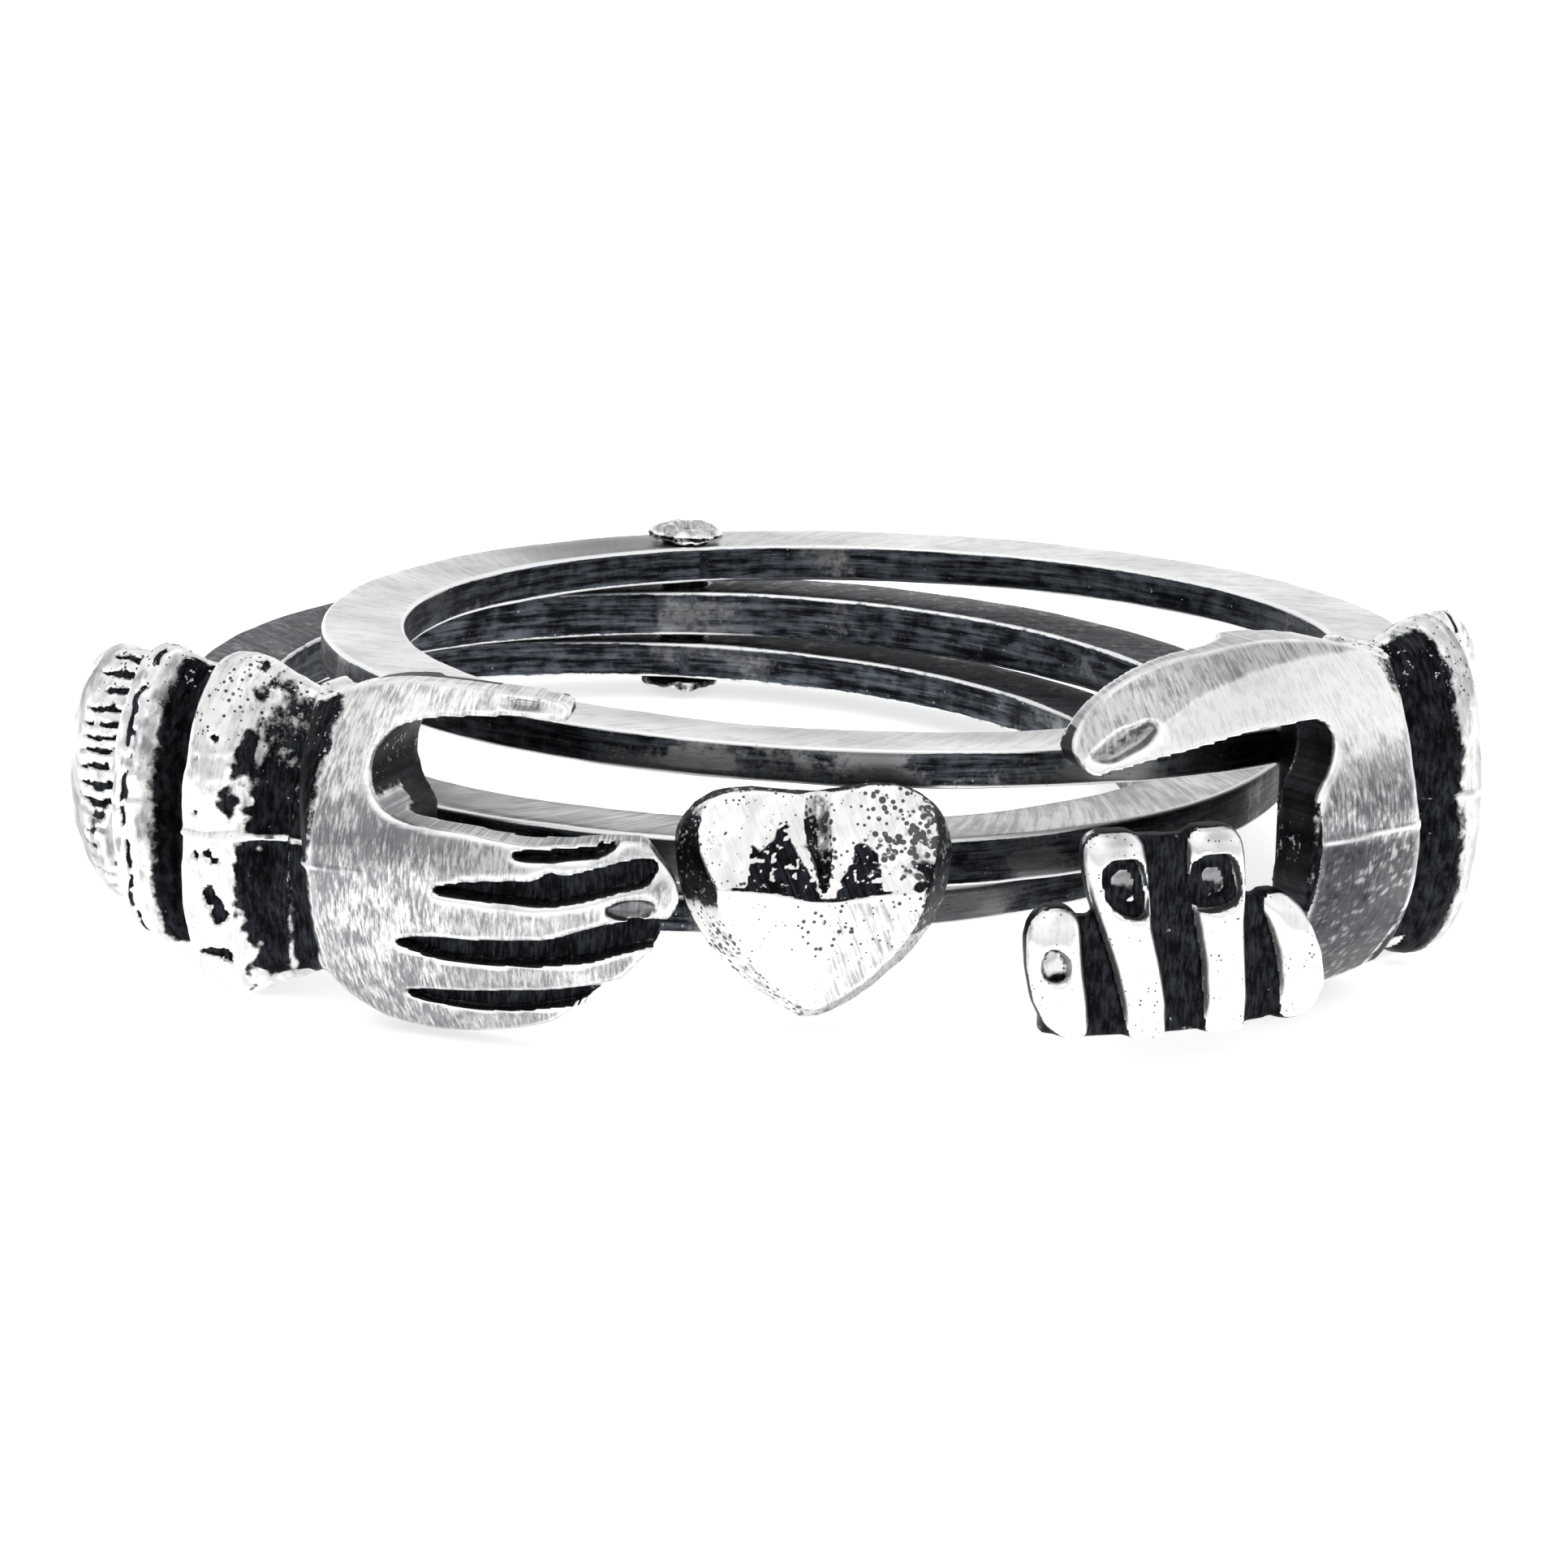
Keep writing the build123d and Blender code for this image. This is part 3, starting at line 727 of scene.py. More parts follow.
right_hand = slab("right_hand", (-7.5, 30.0), (-3.3, 3.5), (100, 56), right_outer, right_inner)
trim(right_hand, prism("right_outline", right_outline, 9.5, FAR_OUT, per_span=4), "INTERSECT")
thumb_nail_outline = [(-4.3, 1.55), (-3.2, 1.80), (-1.6, 2.02), (0.7, 2.16), (1.3, 2.08),
                      (0.3, 1.84), (-1.2, 1.66), (-2.8, 1.50)]
trim(right_hand, prism("right_thumb_nail", thumb_nail_outline, 12.42, FAR_OUT))
print("palm and thumb", len(right_hand.data.polygons), "faces")

# %% [markdown]
# The curled fingers
#
# Each nail is a recess cut into its finger, with a small pad left standing in it. The recess is
# wider than its outline on the two tall fingers, because the melting that follows closes it again.

# %% Right hand: curled fingers and web
right_fingers = {
    # height, middle angle, half width in degrees, outer radius
    "first_finger": [
        (-3.2, -7.1, 1.1, 14.1), (-2.95, -7.7, 1.75, 14.25), (-2.5, -8.3, 2.1, 14.34),
        (-1.9, -8.8, 2.15, 14.38), (-1.35, -9.0, 2.15, 14.34), (-1.05, -8.9, 1.95, 14.26),
        (-0.88, -8.8, 1.5, 14.14), (-0.78, -8.7, 0.8, 14.0)],
    "second_finger": [
        (-3.25, -1.4, 1.55, 14.2), (-2.6, -1.9, 1.75, 14.38), (-1.9, -2.6, 1.85, 14.4),
        (-1.2, -3.5, 2.0, 14.4), (-0.6, -4.1, 2.35, 14.4), (0.0, -4.5, 2.5, 14.38),
        (0.3, -4.6, 2.4, 14.3), (0.47, -4.6, 2.05, 14.16), (0.56, -4.6, 1.3, 14.0)],
    "third_finger": [
        (-3.25, 4.9, 1.75, 14.2), (-2.6, 4.7, 1.75, 14.38), (-1.9, 4.4, 1.75, 14.4),
        (-1.2, 4.0, 1.95, 14.4), (-0.6, 3.75, 2.3, 14.4), (0.0, 3.5, 2.4, 14.38),
        (0.3, 3.4, 2.35, 14.3), (0.48, 3.3, 2.0, 14.16), (0.57, 3.2, 1.25, 14.0)],
    "fourth_finger": [
        (-3.15, 10.7, 1.2, 14.05), (-2.95, 11.2, 1.75, 14.2), (-2.5, 11.5, 2.0, 14.34),
        (-1.9, 11.0, 1.95, 14.38), (-1.4, 10.2, 1.85, 14.34), (-1.05, 9.4, 1.75, 14.24),
        (-0.84, 8.9, 1.35, 14.12), (-0.72, 8.6, 0.75, 14.0)],
}
right_nails = {
    "first_nail": [(-9.9, -1.62), (-9.3, -1.5), (-8.3, -1.6), (-7.95, -1.83), (-8.1, -2.07),
                   (-8.9, -2.13), (-9.9, -2.0)],
    "second_nail": [(-5.3, -0.12), (-4.3, 0.0), (-3.1, -0.05), (-2.55, -0.35), (-2.35, -0.82),
                    (-3.5, -0.88), (-5.0, -0.62)],
    "third_nail": [(1.9, -0.12), (3.0, 0.0), (4.2, -0.08), (4.9, -0.45), (4.8, -0.72), (3.5, -0.84),
                   (2.2, -0.82), (1.8, -0.5)],
}
NAIL_FLOOR = 14.0
PAD_SHARE = 0.62


def resized(points, share):
    """An outline grown or shrunk about its middle."""
    middle = np.mean(points, axis=0)
    return [tuple(middle + (np.array(point) - middle) * share) for point in points]


finger_bars = []
for name, rows in right_fingers.items():
    rings = [ring_level(middle, height, along(half), GRIP_RADIUS + 0.02, outer, 2.9, 0.35)
             for height, middle, half, outer in rows]
    finger_bars.append(loft(name, rings))
fingers = melt_together("fingers", finger_bars, 0.06, rounds=1)
pads = []
for name, points in right_nails.items():
    recess_share, pad_top = (1.0, 14.12) if name == "first_nail" else (1.25, 14.07)
    trim(fingers, prism(name, resized(points, recess_share), NAIL_FLOOR, FAR_OUT, per_span=3))
    pads.append(prism(name + "_pad", resized(points, PAD_SHARE), NAIL_FLOOR - 0.05, pad_top,
                      per_span=3))

web_outline = [(-9.9, -3.1), (-9.3, -1.25), (-7.0, -1.0), (-5.6, -0.9), (-4.6, 0.3), (-2.6, 0.44),
               (0.4, 0.42), (2.8, 0.42), (4.4, 0.3), (5.5, -0.5), (6.6, -0.72), (8.6, -0.95),
               (10.6, -1.5), (11.4, -2.4), (11.0, -3.05)]
web = slab("web", (-9.6, 14.0), (-3.22, 0.6), (60, 24),
           lambda angle, height: np.full_like(angle, 13.93),
           lambda angle, height: np.full_like(angle, GRIP_RADIUS))
trim(web, prism("web_outline", web_outline, 13.0, FAR_OUT), "INTERSECT")
HEEL_STATIONS = [
    # angle, middle height, half height, inner and outer radius
    (9.5, -2.45, 0.45, 13.6, 14.0), (11.5, -2.4, 0.62, 13.2, 14.1), (13.5, -2.4, 0.62, 12.7, 13.7),
    (16.0, -2.5, 0.5, 12.2, 13.1)]
heel = loft("heel", [ring_across(*station) for station in HEEL_STATIONS])
right_cuff = make_cuff("right_cuff", RIGHT_WRIST, 1)
right_joint = make_joint("right_joint", (21.8, 60.0), LEVEL_STEP)
right_parts = [right_hand, fingers, *pads, web, heel, right_cuff, right_joint]
right_ornament = melt_together("right_hand", right_parts, 0.061)
right_cuts = chase_cuff(right_ornament, RIGHT_WRIST, 1)
print("right hand in one skin:", len(right_ornament.data.polygons), "faces")

# %% [markdown]
# Blackening
#
# Antiqued silver is dipped until it turns black all over and is then rubbed back, so the black stays
# where a cloth can't reach. Each piece therefore gets a measure of its own hollows: the skin is
# smoothed in thought, and a vertex that lies below the smoothed skin is in a hollow, one above it is
# on a rim. Five marks are kept on the mesh as attributes that the metal reads: black, which in places
# also holds painted shade and painted dark reflection and is lessened by painted light; rim, partly a
# painted highlight; how white the cloth left it, lessened in places by painted shade; a thin dark glaze
# that stays on smooth places, together with painted shade and a painted reflection; and pits, which
# also set painted glints. Most of the limits below, in millimetres or degrees, were set against the
# photograph.

# %% Blackening
def depth_in_hollow(obj, rounds):
    """How far each vertex lies below the skin that many rounds of smoothing would give, in mm."""
    mesh = obj.data
    ends = np.empty(len(mesh.edges) * 2, dtype=np.int32)
    mesh.edges.foreach_get("vertices", ends)
    a, b = ends.reshape(-1, 2).T
    p, n = places(mesh), facings(mesh)
    count = np.bincount(np.r_[a, b], minlength=len(p))[:, None]
    smooth = p
    for _ in range(rounds):
        smooth = np.stack([np.bincount(a, smooth[b, k], len(p)) + np.bincount(b, smooth[a, k], len(p))
                           for k in range(3)], 1) / count
    return ((smooth - p) * n).sum(axis=1)


def keep_attribute(obj, name, values):
    """Stores one number for each vertex under a name."""
    layer = obj.data.attributes.new(name, "FLOAT", "POINT")
    layer.data.foreach_set("value", np.ascontiguousarray(values, dtype=np.float32))


def keep_lay(obj, across, up):
    """Stores the unrolled surface as a UV map in millimetres, for brush lines that follow the piece."""
    mesh = obj.data
    corner = np.empty(len(mesh.loops), dtype=np.int32)
    mesh.loops.foreach_get("vertex_index", corner)
    layer = mesh.uv_layers.new(name="lay")
    layer.data.foreach_set("uv", np.c_[across[corner], up[corner]].ravel().astype(np.float32))


def common_black(obj):
    """Blackness that the skin's own hollows give, and brightness of its rims."""
    fine, broad = depth_in_hollow(obj, 8), depth_in_hollow(obj, 60)
    return ease(fine, 0.008, 0.04) * 0.7 + ease(broad, 0.05, 0.16) * 0.7, ease(-fine, 0.007, 0.022)


print("the heart's deepest hollow:", round(float(depth_in_hollow(heart, 60).max()), 2), "mm")


# %% [markdown]
# Marks on the hands
#
# On the hands the black lies wherever the skin has sunk below the dome: in the grooves, between the
# curled fingers and in the thumb's crotch, less where painted light falls on up-facing places. On the
# cuffs it fills the bowl and the valleys between the ridges, by how far a place is past the wrist, with
# a ragged edge. The right palm stays grey, partly as it was hardly rubbed, partly as painted shade that
# darkens it low down. A painted texture could carry all this, but rules like these follow the shape.

# %% Measures on a hand
MM_PER_DEGREE = 0.24
CURLED_TOP = 14.3


def measure_hand(obj, wrist, side, outer, cuts):
    """What a hand's marks are worked out from: numbers and parts, for each vertex."""
    p, n = places(obj.data), facings(obj.data)
    angle, radius, height = np.degrees(p[:, 0] / UNROLL_RADIUS), -p[:, 1], p[:, 2]
    past, right = side * (angle - wrist), side > 0
    hand = past < 0.3
    curled = right & (radius > 13.5) & (height < 0.75) & (angle < 13.5)
    sunk = np.where(curled, CURLED_TOP - radius, outer(angle, height) - radius)
    palm = right * ease(angle, 10.5, 14.5) * (1 - ease(height, 0.7, 1.9)) * hand
    left_thumb_nail = (angle > -13.4) & (angle < -7.3) & (height > 2.9) & (not right)
    middle_nail = (angle > -2.3) & (angle < 2.1) & (height > -0.4) & (height < 0.02)
    right_thumb_nail = (angle > -4.6) & (angle < 1.6) & (height > 1.4) & (height < 2.25)
    # A painted reflection: a grey streak down the right cuff's bowl
    painted_reflection = right * bell(past, 6.5, 1.2) * ease(-height, -0.1, 0.3) * (1 - ease(-height, 1.3, 1.9))
    return SimpleNamespace(
        p=p, n=n, angle=angle, radius=radius, height=height, past=past, right=right, hand=hand,
        curled=curled, sunk=sunk, palm=palm, painted_reflection=painted_reflection, dug=cuts[0], raised=cuts[1],
        left_thumb_nail=left_thumb_nail, middle_nail=middle_nail & (sunk > 0.08) & (not right),
        right_thumb_nail=right_thumb_nail & (sunk > 0.12) & right,
        upper_facet_shade=ease(height - np.interp(angle, thumb_angles, thumb_facet), -0.06, 0.02),
        left_fingers=ease(angle, -18.0, -11.0) * (height < 0.95) * (not right))


def curled_nails(h):
    """How far each place lies in a nail of the curled fingers, and how much painted shade lies low in one.
    """
    in_nail, nail_low_shade = 0.0 * h.height, 0.0 * h.height
    for points in right_nails.values():
        nail_angle, nail_height = np.mean(points, axis=0)
        away = np.hypot(MM_PER_DEGREE * (h.angle - nail_angle), h.height - nail_height)
        strength = 0.4 if nail_angle < -8 else 1.0
        nail = strength * (1 - ease(away, 0.22, 0.34)) * h.curled
        in_nail = np.maximum(in_nail, nail)
        nail_low_shade = nail_low_shade + nail * ease(nail_height + 0.1 - h.height, 0.0, 0.18)
    return in_nail, nail_low_shade


left_measures = measure_hand(left_ornament, LEFT_WRIST, -1, left_outer, left_cuts)
right_measures = measure_hand(right_ornament, RIGHT_WRIST, 1, right_outer, right_cuts)
for h in (left_measures, right_measures):
    print(f"hand: {h.hand.sum()} of {len(h.p)} vertices, sunk up to {h.sunk[h.hand].max():.1f} mm")

# %% Black on the hands and cuffs
CUFF_BLACK = [
    # degrees past the wrist, how black
    (-1.0, 0.0), (0.5, 0.5), (1.5, 1.0), (8.6, 1.0), (9.8, 0.4), (10.6, 0.05), (14.6, 0.05),
    (15.4, 0.5), (16.2, 1.0), (21.6, 1.0), (22.5, 0.15), (26.2, 0.1), (26.8, 1.0), (27.9, 1.0),
    (28.5, 0.1), (36.0, 0.15), (47.0, 0.4)]


def cuff_black(h):
    """Black in the bowl and the valleys of a cuff, ragged at the flare, and in what was cut."""
    rough = clouds_at(h.p, 0.45)
    ragged = h.past - h.right * (1.5 + 0.9 * ease(-h.height, 0.2, 1.6))
    ragged = ragged + (0.12 if h.right else 1.0) * (1.9 * rough + clouds_at(h.p, 0.18))
    near_flare = (h.past > 5) & (h.past < 13)
    black = np.interp(np.where(near_flare, ragged, h.past), *np.transpose(CUFF_BLACK))
    if not h.right:
        black = black * (1 - 0.36 * ease(h.height, 0.8, 1.6) * (h.past < 9) * (h.past > 3.5))
    # Painted light: a cuff's up-facing places lose some of their black
    black = black * (1 - 0.6 * ease(h.n[:, 2], 0.5, 0.9))
    sagging = -h.height + 0.5 * rough
    black = black * (1 - 0.8 * ease(sagging, 2.5, 2.75) * ease(h.past, 3.0, 6.0) * (h.past < 9.5))
    # The painted reflection in the right bowl takes away some of its black
    return np.maximum(black, h.dug) * (1 - 0.8 * h.raised) * (1 - 0.45 * h.painted_reflection)


def hand_black(h, hollows, nail_low_shade):
    """Black on a hand and its cuff, from the hollows and the depth below the dome, with painted light and
    shade.
    """
    deep = np.where(h.curled, ease(h.sunk, 0.08, 0.24), ease(h.sunk, 0.05, 0.2))
    # Painted light lifts black off up-facing hollows; polish lifts it off the curled fingers' proudest
    # places
    far_up = np.where(h.right & (h.angle > 8), h.height > 2.3, h.radius > 11.2)
    top_light_and_polish = ease(h.n[:, 2], 0.35, 0.8) * (h.sunk < 1.2) * far_up
    top_light_and_polish = np.where(h.curled, h.radius > 14.05, top_light_and_polish)
    black = np.maximum(hollows * 0.6, deep * (1 - 0.75 * top_light_and_polish))
    black = np.where(h.hand, black, hollows * 0.5)
    # The palm is grey, partly as it was hardly rubbed, partly as painted shade that darkens low down
    black = np.maximum(black, h.palm * (0.26 + 0.1 * (1 - ease(h.height, -0.2, 0.05))))
    # The nails are paler than their recesses, and the curled ones get painted shade low down
    black = np.where(h.left_thumb_nail | h.middle_nail, 0.25 * black,
                     np.where(h.right_thumb_nail, 0.5 * black, black))
    black = black + 0.5 * nail_low_shade
    away = np.hypot(MM_PER_DEGREE * (h.angle + 8.9), h.height + 1.82)
    black = black * (1 - 0.35 * (np.exp(-(away / 0.3) ** 4) * h.curled))
    # The cuff's black stays on its outside, and the inside of everything is black
    black = np.where(h.hand, black, np.maximum(black, cuff_black(h) * (h.n[:, 1] < 0.2)))
    return np.maximum(black, 0.8 * ease(h.n[:, 1], 0.1, 0.5))


print("cuffs are blackest", [past for past, black in CUFF_BLACK if black == 1.0], "degrees past the wrist")

# %% Rims, rubbing, film and pits of the hands
def hand_rim(h, rims, in_nail):
    """Polished rims with painted highlight, uneven, weaker where a hand's skin turns down, and a cuff's
    raised lines.
    """
    # Painted highlight: rims that face down, away from the overhead light, are dimmed
    slope = 2 * DOME_DROP * h.height / HAND_HALF ** 2
    turned_up = h.n[:, 2] - slope / np.sqrt(1 + slope ** 2)
    rim = rims * (1 - 0.85 * h.hand * ease(-turned_up, 0.03, 0.22))
    rim = rim * np.clip(0.85 + 0.7 * clouds_at(h.p, 0.5), 0.4, 1)
    return (rim + np.where(h.hand, 0, ease(h.raised, 0.7, 1.0))) * (1 - 0.85 * in_nail)


def hand_rub_and_shade(h):
    """How white the cloth left a hand, the right far more than the left, minus painted shade on palm and
    facet.
    """
    if h.right:
        # The palm was hardly rubbed and is painted in shade; painted shade greys the thumb's upper facet
        on_hand = 0.97 - 0.9 * h.palm - 0.22 * h.upper_facet_shade
    else:
        on_hand = 0.12 + 0.6 * ease(h.height, 1.0, 2.6)
    return np.where(h.curled, 0.97, np.where(h.hand, on_hand, 0.93) + 0.3 * h.left_fingers)


def hand_glaze_and_shade(h, in_nail):
    """Thin dark glaze on nails and parts of the cuffs; painted shade on palm, thumb, fingers and flare."""
    p, height, past = h.p, h.height, h.past
    glaze_and_painted_shade = 0.0 * past
    if h.right:
        # Painted shade on the palm, darker low down, and on the thumb's upper facet
        glaze_and_painted_shade = h.palm * (0.35 + 0.55 * (1 - ease(height, -0.2, 0.05))) + 0.32 * h.upper_facet_shade * h.hand
    # Painted shade on the right flare; then the cuffs' tails, all from the middle ridge on, bare spots
    # on the palm, the lip
    on_flare = 0.2 * ease(past, 9.0, 11.0) + 0.3 * ease(past, 12.5, 14.0)
    glaze_and_painted_shade = glaze_and_painted_shade + h.right * on_flare * (1 - ease(past, 18.0, 23.0))
    glaze_and_painted_shade = glaze_and_painted_shade + (0.2 + 0.5 * clouds_at(p + 6.0, 0.8)) * ease(past, 30.5, 33.5)
    glaze_and_painted_shade = glaze_and_painted_shade + 0.3 * ease(past, 19.0, 22.0) * (0.4 + clouds_at(p + 5.0, 0.6))
    glaze_and_painted_shade = glaze_and_painted_shade - 0.5 * h.palm * ease(clouds_at(p, 0.13), 0.2, 0.4)
    glaze_and_painted_shade = glaze_and_painted_shade + 0.3 * bell(past, 13.0, 0.9) * (0.5 + clouds_at(p, 0.7))
    glaze_and_painted_shade = np.maximum(glaze_and_painted_shade, 0.55 * h.right_thumb_nail + 0.45 * h.middle_nail)
    # Low from the last ridge on, the bowl's painted reflection and ribs, grime on the left's middle ridge
    glaze_and_painted_shade = glaze_and_painted_shade + 0.3 * ease(past, 27.0, 28.0) * ease(-height, -0.2, 0.4)
    glaze_and_painted_shade = glaze_and_painted_shade + 0.8 * h.painted_reflection + 1.1 * h.raised * (past > 1.0) * (past < 9.0) * (height < -0.1)
    grimy = 0.45 * ease(clouds_at(p + 4.0, 0.28), -0.1, 0.25) * ease(height, -1.9, -0.9)
    glaze_and_painted_shade = glaze_and_painted_shade + (not h.right) * grimy * np.interp(past, [21.5, 22.5, 26.5, 27.5], [0, 1, 1, 0.4])
    glaze_and_painted_shade = glaze_and_painted_shade + 0.26 * h.left_fingers * (1 + 0.8 * clouds_at(p, 0.9))
    # Painted shade greys the curled fingers towards their tops; the nails are greyer still
    knuckle = np.maximum(0.35 * ease(height, -0.5, 0.2), 0.75 * in_nail)
    return np.where(h.curled, knuckle, glaze_and_painted_shade)


def hand_pits_and_glints(h, black):
    """Pits, and painted glints in the black of the thumb's crotch and high on the cuffs."""
    pits_and_glints = np.where(h.hand, 0.12, 0.1 if h.right else 0.16) + 0.3 * (h.curled & (black < 0.5))
    crotch = h.hand & (h.sunk > 0.25) & ~h.curled
    glints = crotch * bell(h.height, -0.1 if h.right else 2.0, 0.5)
    return np.maximum(pits_and_glints, glints + (0.8 * ease(h.height, 1.2, 2.2) * ~h.hand))


def finish_hand(obj, h):
    """Works out a hand's marks from its measures and keeps them on its mesh."""
    hollows, rims = common_black(obj)
    in_nail, nail_low_shade = curled_nails(h)
    black = hand_black(h, hollows, nail_low_shade)
    keep_attribute(obj, "black", np.clip(black, 0, 1))
    keep_attribute(obj, "rim", np.clip(hand_rim(h, rims, in_nail), 0, 1))
    keep_attribute(obj, "rub_and_painted_shade", hand_rub_and_shade(h))
    keep_attribute(obj, "glaze_and_painted_shade", np.clip(hand_glaze_and_shade(h, in_nail), 0, 1))
    keep_attribute(obj, "pits_and_glints", hand_pits_and_glints(h, black))
    keep_lay(obj, h.p[:, 0], h.p[:, 2])
    print(f"{obj.name}: {np.mean(black > 0.5):.0%} of its vertices black")


finish_hand(left_ornament, left_measures)
finish_hand(right_ornament, right_measures)

# %% [markdown]
# Marks on the heart
#
# The heart is polished, with black on its flanks and painted dark reflection in two ragged wings just
# over its ridge, beside the cleft; painted shade greys its flanks low down. The casting was porous on
# the right lobe, so pits crowd there. Its brush lines lean, because the cloth was drawn across it at a
# slant.

# %% Heart's marks
HEART_BRUSH = radians(-22)


def finish_heart(obj):
    """Blackens the heart's flanks and its cleft, paints dark reflection over its ridge, and pits its right
    side.
    """
    p, n = places(obj.data), facings(obj.data)
    x, z = p[:, 0], p[:, 2]
    black, rim = common_black(obj)
    over_ridge = z - heart_ridge(x)
    ragged, specks = clouds_at(p, 0.3), clouds_at(p, 0.1)

    # How high the painted dark reflection stands over the ridge, from the left lobe over the cleft to
    # the right lobe
    wing = np.interp(x, [-1.35, -1.22, -0.95, -0.6, -0.3, -0.05, 0.05, 0.3, 0.42, 0.7, 1.05, 1.18],
                     [0.0, 0.75, 0.8, 1.1, 0.65, 0.35, 0.12, 0.12, 0.35, 0.85, 0.9, 0.0])
    wing = wing + 0.3 * ragged
    # The wings: painted dark reflection on the upper face over the ridge
    hollow = ease(over_ridge, 0.0, 0.05) * (1 - ease(over_ridge, wing - 0.15, wing + 0.12))
    reflection_gaps = ease(specks + 0.4 * ragged, 0.29, 0.4) * ease(over_ridge, 0.12, 0.25)
    hollow = hollow * (1 - 0.9 * reflection_gaps)
    ridge_line = bell(over_ridge, 0.03, 0.04) * ease(x, -1.9, -1.5) * (1 - ease(x, 1.2, 1.5))
    hollow = np.maximum(hollow, ridge_line)

    flank = 1 - ease(-n[:, 1], 0.55, 0.93)
    left_flank = (x < 0) * ease(z, -0.75, -0.1)
    right_flank = (x > 0) * np.interp(z, [-1.0, -0.6, 0.3, 0.6], [0.0, 1.7, 1.7, 0.4])
    sides = flank * np.where(z < 1.1, np.maximum(0.35, np.maximum(left_flank, right_flank)), 0.5)
    edge = 1 - ease(-n[:, 1], 0.1, 0.4)
    in_cleft = (over_ridge > 0) * bell(x, 0.06, 0.3)
    notch = 0.5 * bell(x, 0.05, 0.24) * ease(over_ridge, 0.5, 0.8)
    porous_lobe = ease(x, 0.9, 1.5) * ease(over_ridge, 0.1, 0.4)
    right_dark = np.interp(z, [-0.9, -0.65, 0.35, 0.6], [0, 1, 1, 0])
    right_dark = ease(x + 0.4 * ragged, 1.72, 1.95) * right_dark
    black = np.maximum.reduce([black * (1 - 0.9 * in_cleft), 0.9 * hollow, sides, edge, notch,
                               0.36 * porous_lobe, 0.85 * right_dark])
    keep_attribute(obj, "black", np.clip(black, 0, 1))
    keep_attribute(obj, "rim", np.clip(rim - right_dark, 0, 1))
    keep_attribute(obj, "rub_and_painted_shade", 1.0 - 0.24 * ease(x, 0.0, 0.6) * (1 - ease(z, -0.5, 0.0)))
    # Painted shade: grey low on the flanks, towards the right
    keep_attribute(obj, "glaze_and_painted_shade", 0.4 * flank * ease(-z, 0.7, 1.2) * ease(x, -0.4, 0.4))

    # Pits, with painted glints in the black: the porous right side, the flanks, the middle below the
    # ridge, the cleft, the left lobe
    below_ridge = 0.6 * bell(x, 0.1, 1.0) * bell(z, -0.8, 0.6)
    pits_and_glints = 0.3 + 1.1 * ease(x, 0.4, 1.4) * ease(z, -0.6, 0.1) + 0.7 * flank + below_ridge
    pits_and_glints = pits_and_glints + in_cleft * ease(over_ridge, 0.3, 0.6) + 0.3 * porous_lobe
    pits_and_glints = pits_and_glints + bell(x, -1.4, 0.35) * bell(over_ridge, 0.13, 0.1)
    keep_attribute(obj, "pits_and_glints", pits_and_glints)
    keep_lay(obj, x * cos(HEART_BRUSH) - z * sin(HEART_BRUSH),
             0.3 * (x * sin(HEART_BRUSH) + z * cos(HEART_BRUSH)))


finish_heart(heart)
print("heart marked, brush lines at", round(np.degrees(HEART_BRUSH)), "degrees")

# %% [markdown]
# Marks on the hoops and the rivet
#
# A cloth runs along a hoop's flats and corners and hardly meets its walls, so the walls stay black and
# the corners shine. The upper hoop's flats are polished. The flats of the other two are greyer, and
# painted shade darkens them towards the rivet, under the hoop above. The rivet keeps its black in its
# dents.

# %% Marks of the hoops and the rivet
def finish_band(obj):
    """Blackens a hoop's walls, paints shade on lower hoops' flats towards the rivet, leaves corners
    bright.
    """
    p, n = places(obj.data), facings(obj.data)
    flat, radius = np.abs(n[:, 2]), np.hypot(p[:, 0], p[:, 1])
    patch = clouds_at(p, 1.6)
    is_flat = ease(flat, 0.25, 0.7)
    rubbed_front = 0.35 * ease(-p[:, 1], 5.0, 8.0) * (radius > PIVOT_RADIUS)
    wall = 0.9 - 0.4 * ease(patch, 0.1, 0.4) - rubbed_front * ease(patch, -0.2, 0.1)
    open_top = obj == upper_band
    # Painted shade: a lower hoop's flats darken towards the back, where the hoop above lies over them
    painted_shade_under_hoop = 0.0 if open_top else 0.62 * ease(p[:, 1], -3.0, 4.0)
    keep_attribute(obj, "black", is_flat * painted_shade_under_hoop + (1 - is_flat) * wall)
    keep_attribute(obj, "rim", ease(flat, 0.3, 0.5) * (1 - ease(flat, 0.9, 0.99)))
    keep_attribute(obj, "rub_and_painted_shade", np.full(len(p), 0.92 if open_top else 0.5))
    near_rivet = 0.8 * bell(np.hypot(p[:, 0] + 2.0, p[:, 1] - 9.4), 0.0, 3.0)
    inner_half = 0.3 * (1 - ease(radius, 9.1, 10.3)) * ease(-p[:, 1], 0.0, 6.0)
    # The lower hoops' flats also grey towards the back, as painted shade
    glaze_and_painted_shade = near_rivet + inner_half + 0.1 if open_top else 0.3 + 0.45 * ease(p[:, 1], -6.0, 2.0)
    keep_attribute(obj, "glaze_and_painted_shade", np.clip(is_flat * glaze_and_painted_shade + (1 - is_flat) * 0.7 + 0.25 * patch, 0, 1))
    keep_attribute(obj, "pits_and_glints", 0.15 + 0.15 * (1 - flat))

    # Brush lines follow the walls, and cross the flats at a slant
    round_it = np.arctan2(p[:, 0], -p[:, 1]) * PIVOT_RADIUS
    slanted = flat > 0.7
    keep_lay(obj, np.where(slanted, 0.6 * round_it - 0.8 * radius, round_it),
             np.where(slanted, 0.8 * round_it + 0.6 * radius, radius + p[:, 2]))


